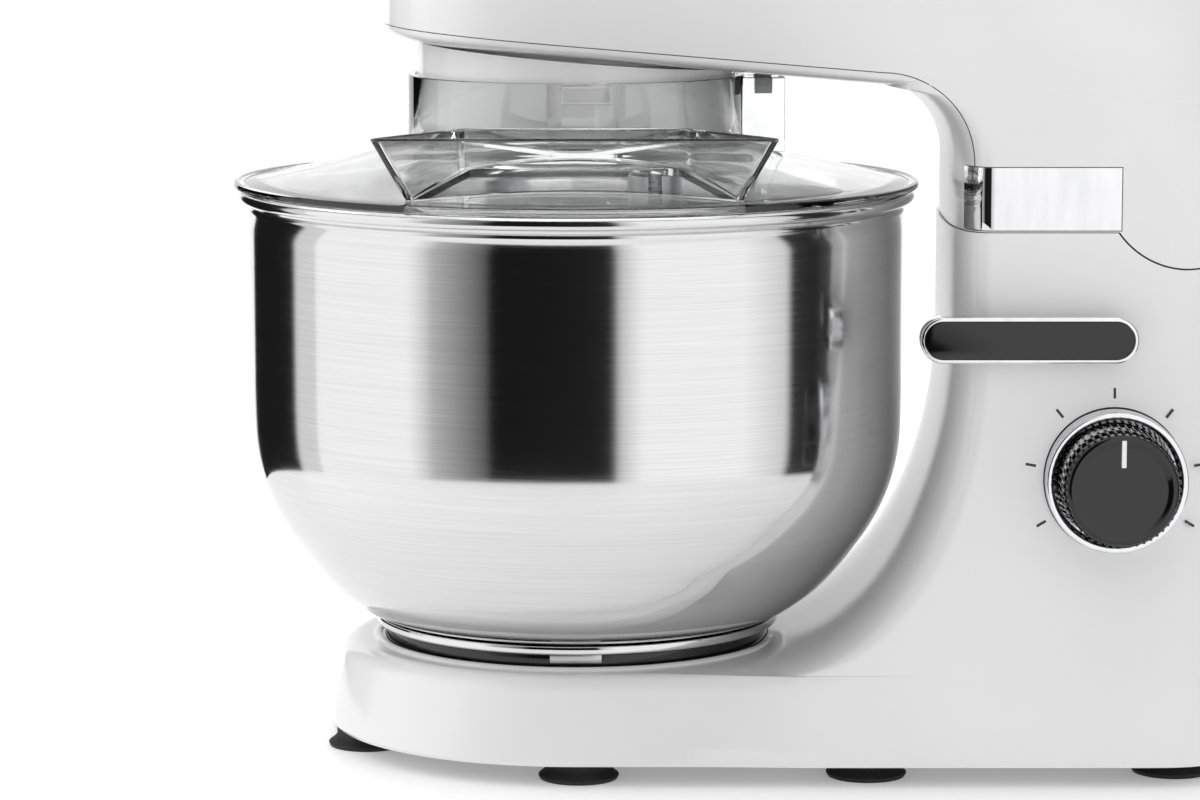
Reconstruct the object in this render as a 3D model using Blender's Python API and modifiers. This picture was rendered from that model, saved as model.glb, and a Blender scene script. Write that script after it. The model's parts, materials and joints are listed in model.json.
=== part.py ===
"""Tilt-head stand mixer, modelled as an assembly of separate parts.

The frame's origin is on the table under the middle of the machine's bounding box.  +Z is up, the
head points along -X, and the bowl's axis stands at X = BOWL_X.  Lengths are in metres.
"""
import math

import bmesh
import bpy
from mathutils import Matrix

MM = 0.001
ROUND_STEPS = 40               # sides of the large turned pieces
GAP = 0.3 * MM                 # clearance between neighbouring pieces

# ---- overall sizes (measured from the bowl's axis and from the table) ----
STAND_REAR = 243 * MM          # rear of the stand behind the bowl's axis
GLAND_REAR = STAND_REAR + 7 * MM   # rearmost point, the end of the cord gland
BASE_BOTTOM = 7.3 * MM         # underside of the base above the table
BASE_TOP = 38 * MM             # top face of the base
BASE_HALF_WIDTH = 88 * MM      # at the bottom edge
BASE_SHOULDER = 82 * MM        # half width at the top edge
COLUMN_FRONT = 130 * MM        # front face of the column behind the bowl's axis
COLUMN_TOP = 188.4 * MM
COLUMN_HALF_WIDTH = 57 * MM    # at the top
SWEEP_START = 60 * MM          # where the base's top starts to rise into the column
SWEEP_HEIGHT = 110 * MM
HOUSING_WALL = 3 * MM
PLATE_TOP = BASE_BOTTOM + 3 * MM

# ---- head ----
HEAD_NOSE = 68 * MM            # nose in front of the bowl's axis
HEAD_REAR = STAND_REAR + 5 * MM
HEAD_HALF_WIDTH = 62 * MM
HEAD_TOP = 336 * MM
SEAM_HEIGHT = 252.7 * MM       # parting line above the bowl's axis
SEAM_SLOPE = 0.083             # it falls towards the rear
BELLY_DEPTH = 5.5 * MM         # underside below the parting line
NECK_ARC = 26 * MM             # fillet between the underside and the neck
NECK_SHOULDER = 211 * MM       # the neck widens into the head above this height
PIVOT_X = STAND_REAR - 31 * MM
PIVOT_Z = 206 * MM
BARREL_RADIUS = 30 * MM
SCREW_HEAD = 3.2 * MM
SCREW_SHANK = 1.6 * MM
SCREW_LENGTH = 14 * MM
PIN_RADIUS = 4 * MM
TRIM_LOW = 189.3 * MM
TRIM_HIGH = 211 * MM
TRIM_DEPTH = 1.5 * MM
TRIM_REAR = PIVOT_X - 24 * MM
EAR_INSIDE = 24 * MM           # stand's hinge ears from the middle plane
EAR_THICKNESS = 5 * MM
EAR_RADIUS = 10 * MM
LUG_INSIDE = EAR_INSIDE + EAR_THICKNESS + 1 * MM   # chassis lugs beside the ears
CATCH_X = 150 * MM             # catch plate that the latch bolt holds
CATCH_THICKNESS = 5 * MM
CATCH_LOW = 170 * MM

# ---- bowl, seat and lid ----
BOWL_RADIUS = 116.6 * MM
BOWL_FOOT_RADIUS = 72.4 * MM
BOWL_FOOT_HEIGHT = 43.4 * MM
BOWL_RIM_HEIGHT = 197.4 * MM   # middle of the rolled rim
BOWL_ROLL = 2.2 * MM
BOWL_WALL = 1.2 * MM
SEAT_RADIUS = BOWL_FOOT_RADIUS - 3.4 * MM
SEAT_TOP = 43.0 * MM
SEAT_SPIGOT = SEAT_RADIUS - 7 * MM   # part of the seat that drops through the base
LID_RADIUS = 122 * MM
BOWL_X = (LID_RADIUS - GLAND_REAR) / 2   # bowl's axis in the frame: the box is centred on X = 0
LID_LOW = 200.1 * MM
LID_WALL = 2.4 * MM
HUB_RADIUS = 56.4 * MM
COLLAR_RADIUS = HUB_RADIUS + 1 * MM   # inside, around the hub
COLLAR_TOP = 240 * MM
SLOT_X = 3.8 * MM              # middle of the collar's slot behind the bowl's axis
SLOT_HALF_LENGTH = 7.7 * MM
CHUTE_TOP = 225 * MM
CHUTE_FOOT = 205 * MM          # height where the chute's width is stated
CHUTE_FRONT = 97 * MM          # front wall at that height, from the bowl's axis
CHUTE_BACK = COLLAR_RADIUS + LID_WALL + 1.9 * MM
CHUTE_WALL = 2.5 * MM

# ---- drive ----
HUB_LOW = 219.5 * MM
HUB_WALL = 3 * MM
PLANET_OFFSET = 28 * MM
PLANET_TEETH = 14
RING_TEETH = 42
SPINDLE_RADIUS = 5 * MM
WHEEL_RADIUS = 20 * MM
WORM_RADIUS = 6 * MM
MOTOR_Z = 297 * MM
MOTOR_RADIUS = 32 * MM
SHAFT_RADIUS = 4 * MM
HUB_NECK = 49.5 * MM           # part of the skirt inside the head
WEB_LOW = 238.5 * MM
GEAR_LOW = 231.5 * MM
GEAR_FACE = 6.5 * MM
CARRIER_TOP = 229.8 * MM
FRAME_LOW = 258 * MM
FRAME_WALL = 4 * MM
DRIVE_RADIUS = 6 * MM
MAIN_RADIUS = 25 * MM
MAIN_GEAR_LOW = 270 * MM
PINION_RADIUS = 9 * MM
WHEEL_Y = -(WHEEL_RADIUS + WORM_RADIUS + 0.4 * MM)
WHEEL_X = math.sqrt((MAIN_RADIUS + PINION_RADIUS + 0.4 * MM) ** 2 - WHEEL_Y ** 2)
WORM_X = 6 * MM
WORM_PITCH = 4.2 * MM
WORM_RIDGES = 8
FRONT_BEARING_X = 84 * MM
REAR_BEARING_X = 190 * MM
BEARING_RADIUS = 11 * MM
BEARING_WIDTH = 8 * MM
FAN_X = 95 * MM
STATOR_X = 113 * MM
STATOR_LENGTH = 42 * MM
ROTOR_RADIUS = MOTOR_RADIUS - 12 * MM
COMMUTATOR_X = 169 * MM
COMMUTATOR_RADIUS = 11 * MM

# ---- tool ----
SPINDLE_LOW = 186 * MM
PIN_HEIGHT = 194 * MM
BEATER_LOW = 54 * MM
BEATER_HIGH = 172 * MM
BEATER_HALF_WIDTH = 58 * MM
SOCKET_HIGH = 205 * MM
SOCKET_RADIUS = 9.5 * MM

# ---- controls and feet ----
LEVER_X = 172 * MM
LEVER_Z = 153 * MM
LEVER_LENGTH = 75 * MM
LEVER_HEIGHT = 16 * MM
LEVER_FACE = 72.5 * MM         # outer face of the lever from the middle plane
LEVER_THICKNESS = 9 * MM
KNOB_X = 186 * MM
KNOB_Z = 104 * MM
KNOB_RADIUS = 20 * MM
KNOB_FACE = 92 * MM
BEZEL_RADIUS = KNOB_RADIUS + 4.5 * MM
KNOB_SHAFT = 3 * MM
LEVER_SHAFT_RADIUS = 3 * MM
CAM_ARM = 19 * MM              # from the lever's axis up to the latch bolt
BOLT_RADIUS = 4 * MM
GLAND_Z = 24 * MM
FOOT_RADIUS = 14 * MM
FOOT_PLACES = {
    "front": (-75 * MM, 17 * MM),
    "mid": (1 * MM, 70 * MM),
    "rear_mid": (101 * MM, 66 * MM),
    "rear": (208 * MM, 60 * MM),
}

PARTS = bpy.data.collections.new("stand_mixer")
CUTTERS = bpy.data.collections.new("cutters")


# ------------------------------------------------------------------ helpers
def clear_scene():
    """Remove every object of the startup scene."""
    for old in list(bpy.data.objects):
        bpy.data.objects.remove(old, do_unlink=True)
    bpy.context.scene.collection.children.link(PARTS)
    bpy.context.scene.collection.children.link(CUTTERS)


def finish(name, colour, roughness, metallic=0.0):
    """Return a Principled material with one colour."""
    material = bpy.data.materials.new(name)
    material.use_nodes = True
    shader = material.node_tree.nodes["Principled BSDF"]
    shader.inputs["Base Color"].default_value = (*colour, 1.0)
    shader.inputs["Roughness"].default_value = roughness
    shader.inputs["Metallic"].default_value = metallic
    return material


def add_part(name, mesh, material, smooth_angle=35.0):
    """Place a mesh as a named sub-part."""
    part = bpy.data.objects.new(name, mesh)
    PARTS.objects.link(part)
    mesh.materials.clear()
    mesh.materials.append(material)
    mesh.shade_smooth()
    mesh.set_sharp_from_angle(angle=math.radians(smooth_angle))
    return part


def cutter_object(name, mesh):
    """Place a mesh as a Boolean cutter."""
    cutter = bpy.data.objects.new(name, mesh)
    cutter.display_type = 'WIRE'
    cutter.hide_render = True
    CUTTERS.objects.link(cutter)
    return cutter


def to_mesh(bm, name):
    """Turn a bmesh into mesh data with its faces pointing out."""
    bmesh.ops.recalc_face_normals(bm, faces=bm.faces)
    mesh = bpy.data.meshes.new(name)
    bm.to_mesh(mesh)
    bm.free()
    return mesh


def box_mesh(low, high, name="box"):
    """Box between two corners."""
    bm = bmesh.new()
    size = [b - a for a, b in zip(low, high)]
    middle = [(a + b) / 2 for a, b in zip(low, high)]
    bmesh.ops.create_cube(bm, size=1.0, matrix=Matrix.Translation(middle) @ Matrix.Diagonal((*size, 1)))
    return to_mesh(bm, name)


AXIS_TURN = {
    "Z": Matrix.Identity(4),
    "X": Matrix.Rotation(math.pi / 2, 4, 'Y'),
    "Y": Matrix.Rotation(-math.pi / 2, 4, 'X'),
}


def rod_mesh(start, length, radius, axis="Z", sides=24, end_radius=None, name="rod"):
    """Cylinder or cone from a start point along an axis."""
    bm = bmesh.new()
    shift = Matrix.Translation(start) @ AXIS_TURN[axis] @ Matrix.Translation((0, 0, length / 2))
    bmesh.ops.create_cone(bm, cap_ends=True, segments=sides, radius1=radius,
                          radius2=radius if end_radius is None else end_radius, depth=length, matrix=shift)
    return to_mesh(bm, name)


def outline_mesh(points, low, high, axis="Y", name="outline"):
    """Prism: a flat outline in the plane across the axis, between two places on it."""
    bm = bmesh.new()
    place = {
        "Y": lambda p, t: (p[0], t, p[1]),
        "Z": lambda p, t: (p[0], p[1], t),
        "X": lambda p, t: (t, p[0], p[1]),
    }[axis]
    lower = [bm.verts.new(place(p, low)) for p in points]
    upper = [bm.verts.new(place(p, high)) for p in points]
    bm.faces.new(lower)
    bm.faces.new(upper)
    for i in range(len(points)):
        j = (i + 1) % len(points)
        bm.faces.new((lower[i], lower[j], upper[j], upper[i]))
    return to_mesh(bm, name)


def loft_mesh(rings, name="loft"):
    """Closed skin over rings of equal point counts, capped at both ends."""
    bm = bmesh.new()
    loops = [[bm.verts.new(p) for p in ring] for ring in rings]
    for one, two in zip(loops, loops[1:]):
        for i in range(len(one)):
            j = (i + 1) % len(one)
            bm.faces.new((one[i], one[j], two[j], two[i]))
    bm.faces.new(loops[0])
    bm.faces.new(loops[-1])
    return to_mesh(bm, name)


def turned_mesh(name, profile, centre=(0, 0), axis="Z", steps=32):
    """Turn a closed (radius, height) outline about an axis through a centre, with a Screw modifier."""
    area = sum(a[0] * b[1] - b[0] * a[1] for a, b in zip(profile, profile[1:] + profile[:1]))
    points = profile if area < 0 else profile[::-1]
    on_axis = [i for i, p in enumerate(points) if p[0] == 0]
    if on_axis:
        # open the outline along the axis: start at its upper end and run down the outer side
        first = max(on_axis, key=lambda i: points[i][1])
        points = points[first:] + points[:first]
    edges = [(i, i + 1) for i in range(len(points) - 1)]
    if not on_axis:
        edges.append((len(points) - 1, 0))
    mesh = bpy.data.meshes.new(name)
    mesh.from_pydata([(r, 0, z) for r, z in points], edges, [])
    holder = cutter_object(name + "_profile", mesh)
    screw = holder.modifiers.new("turn", 'SCREW')
    screw.steps = steps
    screw.render_steps = steps
    screw.use_merge_vertices = True
    screw.merge_threshold = 0.00001
    mesh = baked_mesh(holder)
    bpy.data.objects.remove(holder)
    mesh.transform(AXIS_TURN[axis])
    place = {"Z": (centre[0], centre[1], 0), "Y": (centre[0], 0, centre[1]), "X": (0, centre[0], centre[1])}
    mesh.transform(Matrix.Translation(place[axis]))
    return mesh


def turned(name, profile, material, centre=(0, 0), axis="Z", steps=32, smooth_angle=35.0):
    """Turned sub-part."""
    return add_part(name, turned_mesh(name, profile, centre, axis, steps), material, smooth_angle)


def baked_mesh(part, turn_out=True):
    """Mesh of an object with its modifiers applied and doubles merged."""
    bpy.context.view_layer.update()
    graph = bpy.context.evaluated_depsgraph_get()
    mesh = bpy.data.meshes.new_from_object(part.evaluated_get(graph))
    bm = bmesh.new()
    bm.from_mesh(mesh)
    bmesh.ops.remove_doubles(bm, verts=bm.verts, dist=0.000005)
    if turn_out:
        bmesh.ops.recalc_face_normals(bm, faces=bm.faces)
    bm.to_mesh(mesh)
    bm.free()
    return mesh


def combine(part, meshes, operation):
    """Apply Boolean operations with each mesh in turn and return the part."""
    for mesh in meshes:
        tool = cutter_object(mesh.name + "_" + operation.lower(), mesh)
        change = part.modifiers.new(operation.lower(), 'BOOLEAN')
        change.operation = operation
        change.object = tool
        change.solver = 'EXACT'
        mesh_after = baked_mesh(part, turn_out=False)
        part.modifiers.clear()
        materials = list(part.data.materials)
        part.data = mesh_after
        part.data.materials.clear()
        for material in materials:
            part.data.materials.append(material)
        bpy.data.objects.remove(tool)
    return part


def cut(part, *meshes):
    """Cut meshes out of a part."""
    return combine(part, meshes, 'DIFFERENCE')


def join(part, *meshes):
    """Join meshes to a part."""
    return combine(part, meshes, 'UNION')


def keep_inside(part, *meshes):
    """Keep only what is inside each mesh."""
    return combine(part, meshes, 'INTERSECT')


def moved(mesh, matrix):
    """Return the mesh after a transform."""
    mesh.transform(matrix)
    return mesh


def arc(centre, radius, start, end, count):
    """Points on an arc, angles in degrees."""
    angles = [math.radians(start + (end - start) * i / count) for i in range(count + 1)]
    return [(centre[0] + radius * math.cos(a), centre[1] + radius * math.sin(a)) for a in angles]


def ease(value, low, high):
    """Smooth step from 0 at low to 1 at high."""
    share = min(max((value - low) / (high - low), 0.0), 1.0)
    return share * share * (3 - 2 * share)


# ------------------------------------------------------------------ outer forms
FRONT_STEPS = 14
REAR_STEPS = 8
SIDE_STEPS = 2


def plan_outline(front, rear, half_width, front_depth, front_power, rear_depth, rear_power, height):
    """Plan section with superelliptic ends; starts at the near front corner of the rear end."""
    points = []
    for i in range(FRONT_STEPS + 1):
        a = math.pi * (i / FRONT_STEPS - 0.5)
        points.append((front + front_depth * (1 - math.cos(a) ** (2 / front_power)),
                       half_width * math.copysign(abs(math.sin(a)) ** (2 / front_power), a)))
    far = [(front + front_depth + (rear - rear_depth - front - front_depth) * i / (SIDE_STEPS + 1),
            half_width)
           for i in range(1, SIDE_STEPS + 1)]
    end = []
    for i in range(REAR_STEPS + 1):
        a = math.pi * (0.5 - i / REAR_STEPS)
        end.append((rear - rear_depth * (1 - max(math.cos(a), 0) ** (2 / rear_power)),
                    half_width * math.copysign(abs(math.sin(a)) ** (2 / rear_power), a)))
    near = [(x, -y) for x, y in reversed(far)]
    return [(x + BOWL_X, y, height) for x, y in points + far + end + near]


def base_half_width(height):
    """The base's sides lean in a little towards the top."""
    share = (height - BASE_BOTTOM) / (BASE_TOP - BASE_BOTTOM)
    return BASE_HALF_WIDTH + (BASE_SHOULDER - BASE_HALF_WIDTH) * share ** 1.5


def column_half_width(height):
    """The column narrows from the base's shoulder to its top."""
    share = max((COLUMN_TOP - height) / (COLUMN_TOP - BASE_TOP), 0.0)
    return COLUMN_HALF_WIDTH + (BASE_SHOULDER - COLUMN_HALF_WIDTH) * share ** 1.6


def sweep_front(height):
    """Front face of the column: a quarter ellipse that rises out of the base's top."""
    drop = min(max((BASE_TOP + SWEEP_HEIGHT - height) / SWEEP_HEIGHT, 0.0), 1.0)
    return SWEEP_START + (COLUMN_FRONT - SWEEP_START) * math.sqrt(1 - drop * drop)


def stand_form(wall, top, floor):
    """Closed skin of the stand, drawn in by a wall on every side."""
    rings = []
    for height, edge in ((0, 1.6), (0.05, 0.3), (0.35, 0), (0.82, 0), (0.93, 1.2), (0.98, 3.2), (1, 6.0)):
        z = BASE_BOTTOM + (BASE_TOP - BASE_BOTTOM) * height
        half = base_half_width(z) - wall
        ring = plan_outline(-half - 1.5 * MM, STAND_REAR - wall, half, half + 1.5 * MM, 2.05, 46 * MM, 2.6, z)
        soft = []
        for x, y, _ in ring:
            inset = edge * MM * (1 - ease(x - BOWL_X, 45 * MM, 105 * MM) if height > 0.5 else wall == 0)
            reach = math.hypot(min(x - BOWL_X, 0), y)
            shrink = 1 - inset / reach if reach else 1
            soft.append((BOWL_X + (x - BOWL_X) * (shrink if x < BOWL_X else 1), y * shrink, z))
        rings.append(soft)
    if wall:
        rings = [[(x, y, floor if i == 0 else z - wall) for x, y, z in ring] for i, ring in enumerate(rings)]
        rings = rings[:1] + rings[2:]
    for rise in (0.5, 2, 5, 10, 18, 30, 48, 72, 105, 130):
        z = BASE_TOP + rise * MM - (wall if rise < 30 else 0)
        front = sweep_front(BASE_TOP + rise * MM) + wall
        half = column_half_width(z) - wall
        rings.append(plan_outline(front, STAND_REAR - wall - 2 * MM * rise / 150, half, 14 * MM, 2.8,
                                  46 * MM, 2.6, z))
    rings.append(plan_outline(COLUMN_FRONT + wall, STAND_REAR - wall - 2 * MM, column_half_width(top) - wall,
                              14 * MM, 2.8, 46 * MM, 2.6, top))
    return loft_mesh(rings, "stand_form")


def seam_height(x):
    """Parting line between the head's shells, x from the bowl's axis."""
    return SEAM_HEIGHT - SEAM_SLOPE * x


def cap_share(u, power):
    """Quarter superellipse: 0 at the tip, 1 at full size."""
    u = min(max(u, 0.0), 1.0)
    return (1 - (1 - u) ** power) ** (1 / power)


HEAD_SIDES = 26


def head_section(x, wall):
    """Cross-section of the head at x behind the bowl's axis."""
    nose = (x + HEAD_NOSE - wall) / (66 * MM)
    tail = (HEAD_REAR - wall - x) / (72 * MM)
    half = (HEAD_HALF_WIDTH - wall) * cap_share(nose, 2.4) * cap_share(tail, 2.4)
    crown = HEAD_TOP - 10 * MM * ((x - 70 * MM) / (180 * MM)) ** 2
    rise = (crown - wall - seam_height(x)) * cap_share(nose * 0.9, 2.3) * cap_share(tail * 1.0, 2.3)
    sink = (BELLY_DEPTH - wall) * cap_share(nose * 3, 2)
    low = max(sink, -2.2 * MM)
    ring = []
    for i in range(HEAD_SIDES):
        a = 2 * math.pi * i / HEAD_SIDES
        upper = math.sin(a) >= 0
        power = 2.5 if upper else 3.6
        y = half * math.copysign(abs(math.cos(a)) ** (2 / power), math.cos(a))
        z = (rise if upper else low) * math.copysign(abs(math.sin(a)) ** (2 / power), math.sin(a))
        ring.append((BOWL_X + x, y, seam_height(x) + z))
    return ring


def head_form(wall):
    """Closed skin of the head without its neck."""
    stations = [0.02, 0.5, 2, 5, 10, 17, 26, 38, 52, 66, 92, 120, 150, 180, 215, 244, 262, 277, 289, 299,
                306, 311, 314.5, 315.9]
    length = HEAD_NOSE + HEAD_REAR - 2 * wall
    places = [wall - HEAD_NOSE + length * s / 316 for s in stations]
    return loft_mesh([head_section(x, wall) for x in places], "head_form")


def neck_front(z):
    """Front face of the neck with the fillet under the head."""
    lift = min(max((z - NECK_SHOULDER) / NECK_ARC, 0.0), 1.0)
    return COLUMN_FRONT + 1 * MM - NECK_ARC * (1 - math.sqrt(1 - lift * lift))


def neck_form(wall, floor=0.0):
    """Closed skin of the neck, from the column's top to the parting line, drawn in by a wall."""
    rings = []
    for z in (COLUMN_TOP + GAP + floor, 200 * MM, NECK_SHOULDER):
        rings.append(plan_outline(COLUMN_FRONT + 1 * MM + wall, STAND_REAR - 2 * MM - wall,
                                  COLUMN_HALF_WIDTH - wall,
                                  14 * MM, 2.8, 46 * MM, 2.6, z))
    front_top = seam_height(COLUMN_FRONT)
    for share in (0.2, 0.4, 0.6, 0.74, 0.86, 0.95, 1.0):
        grow = ease(share, 0, 1)
        front = neck_front(NECK_SHOULDER + share * (front_top - NECK_SHOULDER)) + wall
        rear = STAND_REAR - 2 * MM + (HEAD_REAR - GAP - STAND_REAR + 2 * MM) * grow - wall
        half = COLUMN_HALF_WIDTH + (HEAD_HALF_WIDTH - GAP / 3 - COLUMN_HALF_WIDTH) * grow - wall
        ring = plan_outline(front, rear, half, 14 * MM, 2.8, 46 * MM + 26 * MM * grow, 2.6 - 0.2 * grow, 0)
        rings.append([(x, y, NECK_SHOULDER + share * (seam_height(x - BOWL_X) - NECK_SHOULDER)) for x, y,
                      _ in ring])
    return loft_mesh(rings, "neck_form")


def barrel_form(inset):
    """Round rear underside of the neck about the hinge."""
    half = COLUMN_HALF_WIDTH - inset
    barrel = cutter_object("barrel", rod_mesh((BOWL_X + PIVOT_X, -half - 5 * MM, PIVOT_Z), 2 * half + 10 * MM,
                                              BARREL_RADIUS - inset, "Y", 40))
    ends = [plan_outline(PIVOT_X - BARREL_RADIUS - 20 * MM, PIVOT_X + BARREL_RADIUS - inset, half, 14 * MM,
                         2.8,
                         46 * MM, 2.6, PIVOT_Z + rise) for rise in (-50 * MM, 50 * MM)]
    keep_inside(barrel, loft_mesh(ends))
    mesh = barrel.data.copy()
    bpy.data.objects.remove(barrel)
    return mesh


def outside_barrel(radius, rear):
    """Everything behind and below the hinge that lies outside the barrel."""
    centre = (BOWL_X + PIVOT_X, PIVOT_Z)
    points = arc(centre, radius, 0, -90, 12)
    points += [(centre[0], PIVOT_Z - 60 * MM), (BOWL_X + rear, PIVOT_Z - 60 * MM), (BOWL_X + rear, PIVOT_Z)]
    return outline_mesh(points, -90 * MM, 90 * MM, "Y", "outside_barrel")


def hollow_head(material):
    """Head and neck in one hollow skin, before it is parted."""
    shell = add_part("head_hollow", head_form(0), material)
    join(shell, neck_form(0))
    cut(shell, outside_barrel(BARREL_RADIUS, 300 * MM))
    join(shell, barrel_form(0))
    inner = cutter_object("head_inner", head_form(HOUSING_WALL))
    join(inner, neck_form(HOUSING_WALL, 2.4 * MM))
    cut(inner, outside_barrel(BARREL_RADIUS - HOUSING_WALL, 300 * MM))
    join(inner, barrel_form(HOUSING_WALL))
    cut(shell, inner.data.copy())
    bpy.data.objects.remove(inner)
    return shell


def seam_region(grow):
    """Side view of what belongs to the lower shell, grown by a clearance."""
    nose = -HEAD_NOSE - 12 * MM
    bend = 105 * MM
    arc_radius = 32.5 * MM
    points = [(nose, 170 * MM), (nose, seam_height(nose) + grow)]
    points.append((bend, seam_height(bend) + grow))
    centre = (bend, seam_height(bend) - arc_radius)
    points += arc(centre, arc_radius + grow, 80, 0, 8)
    points.append((bend + arc_radius + grow, 170 * MM))
    return outline_mesh([(BOWL_X + x, z) for x, z in points], -90 * MM, 90 * MM, "Y", "seam_region")


def trim_zone(side, grow, depth):
    """Block around one side of the neck, less the neck drawn in by a depth."""
    low = (BOWL_X + COLUMN_FRONT - 10 * MM, side * 46 * MM - side * grow, TRIM_LOW - grow)
    high = (BOWL_X + TRIM_REAR + grow, side * 80 * MM, TRIM_HIGH + grow)
    corners = [tuple(min(a, b) for a, b in zip(low, high)), tuple(max(a, b) for a, b in zip(low, high))]
    zone = cutter_object("trim_zone", box_mesh(*corners))
    cut(zone, neck_form(depth))
    mesh = zone.data.copy()
    bpy.data.objects.remove(zone)
    return mesh


def underside_above(drop):
    """Everything above the head's underside less a drop, as a slanted slab."""
    ends = (-90 * MM, 90 * MM)
    low = [(BOWL_X + x, seam_height(x) - BELLY_DEPTH - drop) for x in ends]
    return outline_mesh(low + [(BOWL_X + ends[1], 300 * MM), (BOWL_X + ends[0], 300 * MM)], -90 * MM, 90 * MM)


# ------------------------------------------------------------------ stand
def screw_places():
    """Centres of the base screws in plan, from the bowl's axis."""
    side = base_half_width(BASE_BOTTOM) - HOUSING_WALL - 9.5 * MM
    return [(-20 * MM, side - 2.5 * MM), (-20 * MM, -side + 2.5 * MM), (150 * MM, side), (150 * MM, -side)]


def make_stand(white, black, grey, steel, chrome, rubber, board):
    """Base, column and what is fixed in them."""
    housing = add_part("stand_housing", stand_form(0, COLUMN_TOP, 0), white)
    lip = turned_mesh("lip", [(SEAT_RADIUS + 1.5 * MM, BASE_TOP - 1.2 * MM),
                              (SEAT_RADIUS + 1.5 * MM, BASE_TOP + 0.8 * MM),
                              (SEAT_RADIUS + 2.6 * MM, BASE_TOP + 1.3 * MM), (SEAT_RADIUS + 4.0 * MM,
                                  BASE_TOP + 0.9 * MM),
                              (SEAT_RADIUS + 5.5 * MM, BASE_TOP - 1.2 * MM)], (BOWL_X, 0), "Z", ROUND_STEPS)
    join(housing, lip)
    cut(housing, stand_form(HOUSING_WALL, COLUMN_TOP - HOUSING_WALL, BASE_BOTTOM - 1 * MM))
    for x, y in screw_places():
        join(housing, rod_mesh((BOWL_X + x, y, PLATE_TOP + GAP), BASE_TOP - 2 * MM - PLATE_TOP - GAP,
                               5 * MM, sides=12))
        cut(housing, rod_mesh((BOWL_X + x, y, PLATE_TOP - 1 * MM), SCREW_LENGTH + 2 * MM, 2 * MM, sides=8))
    pivot = (BOWL_X + PIVOT_X, -90 * MM, PIVOT_Z)
    cut(housing,
        rod_mesh((BOWL_X, 0, BASE_TOP - 10 * MM), 20 * MM, SEAT_SPIGOT + GAP, sides=ROUND_STEPS),
        rod_mesh((BOWL_X, 0, BASE_TOP - 1.5 * MM), 20 * MM, SEAT_RADIUS + GAP, sides=ROUND_STEPS),
        rod_mesh(pivot, 180 * MM, BARREL_RADIUS + 2 * GAP, "Y", 48),
        box_mesh((BOWL_X + PIVOT_X, -90 * MM, COLUMN_TOP - 4 * MM),
                 (BOWL_X + STAND_REAR + 17 * MM, 90 * MM, 230 * MM)),
        box_mesh((BOWL_X + CATCH_X - 12 * MM, -10 * MM, COLUMN_TOP - 20 * MM),
                 (BOWL_X + CATCH_X + 9 * MM, 10 * MM, COLUMN_TOP + 5 * MM)),
        rod_mesh((BOWL_X + LEVER_X, -90 * MM, LEVER_Z), 60 * MM, LEVER_SHAFT_RADIUS + GAP, "Y", 16),
        rod_mesh((BOWL_X + KNOB_X, -90 * MM, KNOB_Z), 60 * MM, BEZEL_RADIUS + GAP, "Y", 40),
        rod_mesh((BOWL_X + STAND_REAR - 10 * MM, 0, GLAND_Z), 20 * MM, 5.3 * MM, "X", 20))

    half = base_half_width(BASE_BOTTOM) - HOUSING_WALL - GAP - 0.4 * MM
    ring = plan_outline(-half - 1.5 * MM, STAND_REAR - HOUSING_WALL - GAP, half, half + 1.5 * MM, 2.05,
                        46 * MM, 2.6, 0)
    plate = add_part("base_plate", outline_mesh([(x, y) for x, y, _ in ring], BASE_BOTTOM + GAP, PLATE_TOP,
                                                "Z"), grey)
    for i in range(6):
        x = BOWL_X + (125 + 11 * i) * MM
        cut(plate, box_mesh((x, -32 * MM, 0), (x + 4 * MM, 32 * MM, 20 * MM)))
    for i, (x, y) in enumerate(screw_places()):
        cut(plate, rod_mesh((BOWL_X + x, y, 0), 30 * MM, SCREW_SHANK + GAP, sides=12),
            rod_mesh((BOWL_X + x, y, 0), BASE_BOTTOM + 1.6 * MM, SCREW_HEAD + GAP, sides=16))
        z = BASE_BOTTOM + 0.4 * MM
        turned(f"base_screw_{i + 1}", [(0, z), (SCREW_HEAD, z), (SCREW_HEAD, z + 0.9 * MM),
                                       (SCREW_SHANK, z + 0.9 * MM),
                                       (SCREW_SHANK, z + SCREW_LENGTH), (0, z + SCREW_LENGTH)], steel,
               (BOWL_X + x, y), steps=12)

    seat_floor = BASE_TOP - 1.5 * MM + GAP
    turned("bowl_seat", [(0, seat_floor + 1 * MM), (SEAT_SPIGOT - 5 * MM, seat_floor + 1 * MM),
                         (SEAT_SPIGOT - 3 * MM, SEAT_TOP - 1 * MM), (SEAT_SPIGOT - 2 * MM, SEAT_TOP),
                         (SEAT_RADIUS, SEAT_TOP), (SEAT_RADIUS, seat_floor), (SEAT_SPIGOT, seat_floor),
                         (SEAT_SPIGOT, seat_floor - 4 * MM), (0, seat_floor - 4 * MM)], black, (BOWL_X,
                             0), steps=ROUND_STEPS)

    top = BASE_BOTTOM - GAP
    cup = [(0, top), (11 * MM, top), (11 * MM, 4.2 * MM), (FOOT_RADIUS, 1.6 * MM), (13.4 * MM, 0),
           (11.4 * MM, 0), (8 * MM, 2.4 * MM), (0, 2.4 * MM)]
    for name, (x, y) in FOOT_PLACES.items():
        for side, sign in (("near", -1), ("far", 1)):
            turned(f"foot_{name}_{side}", cup, rubber, (BOWL_X + x, sign * y), steps=16)

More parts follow.
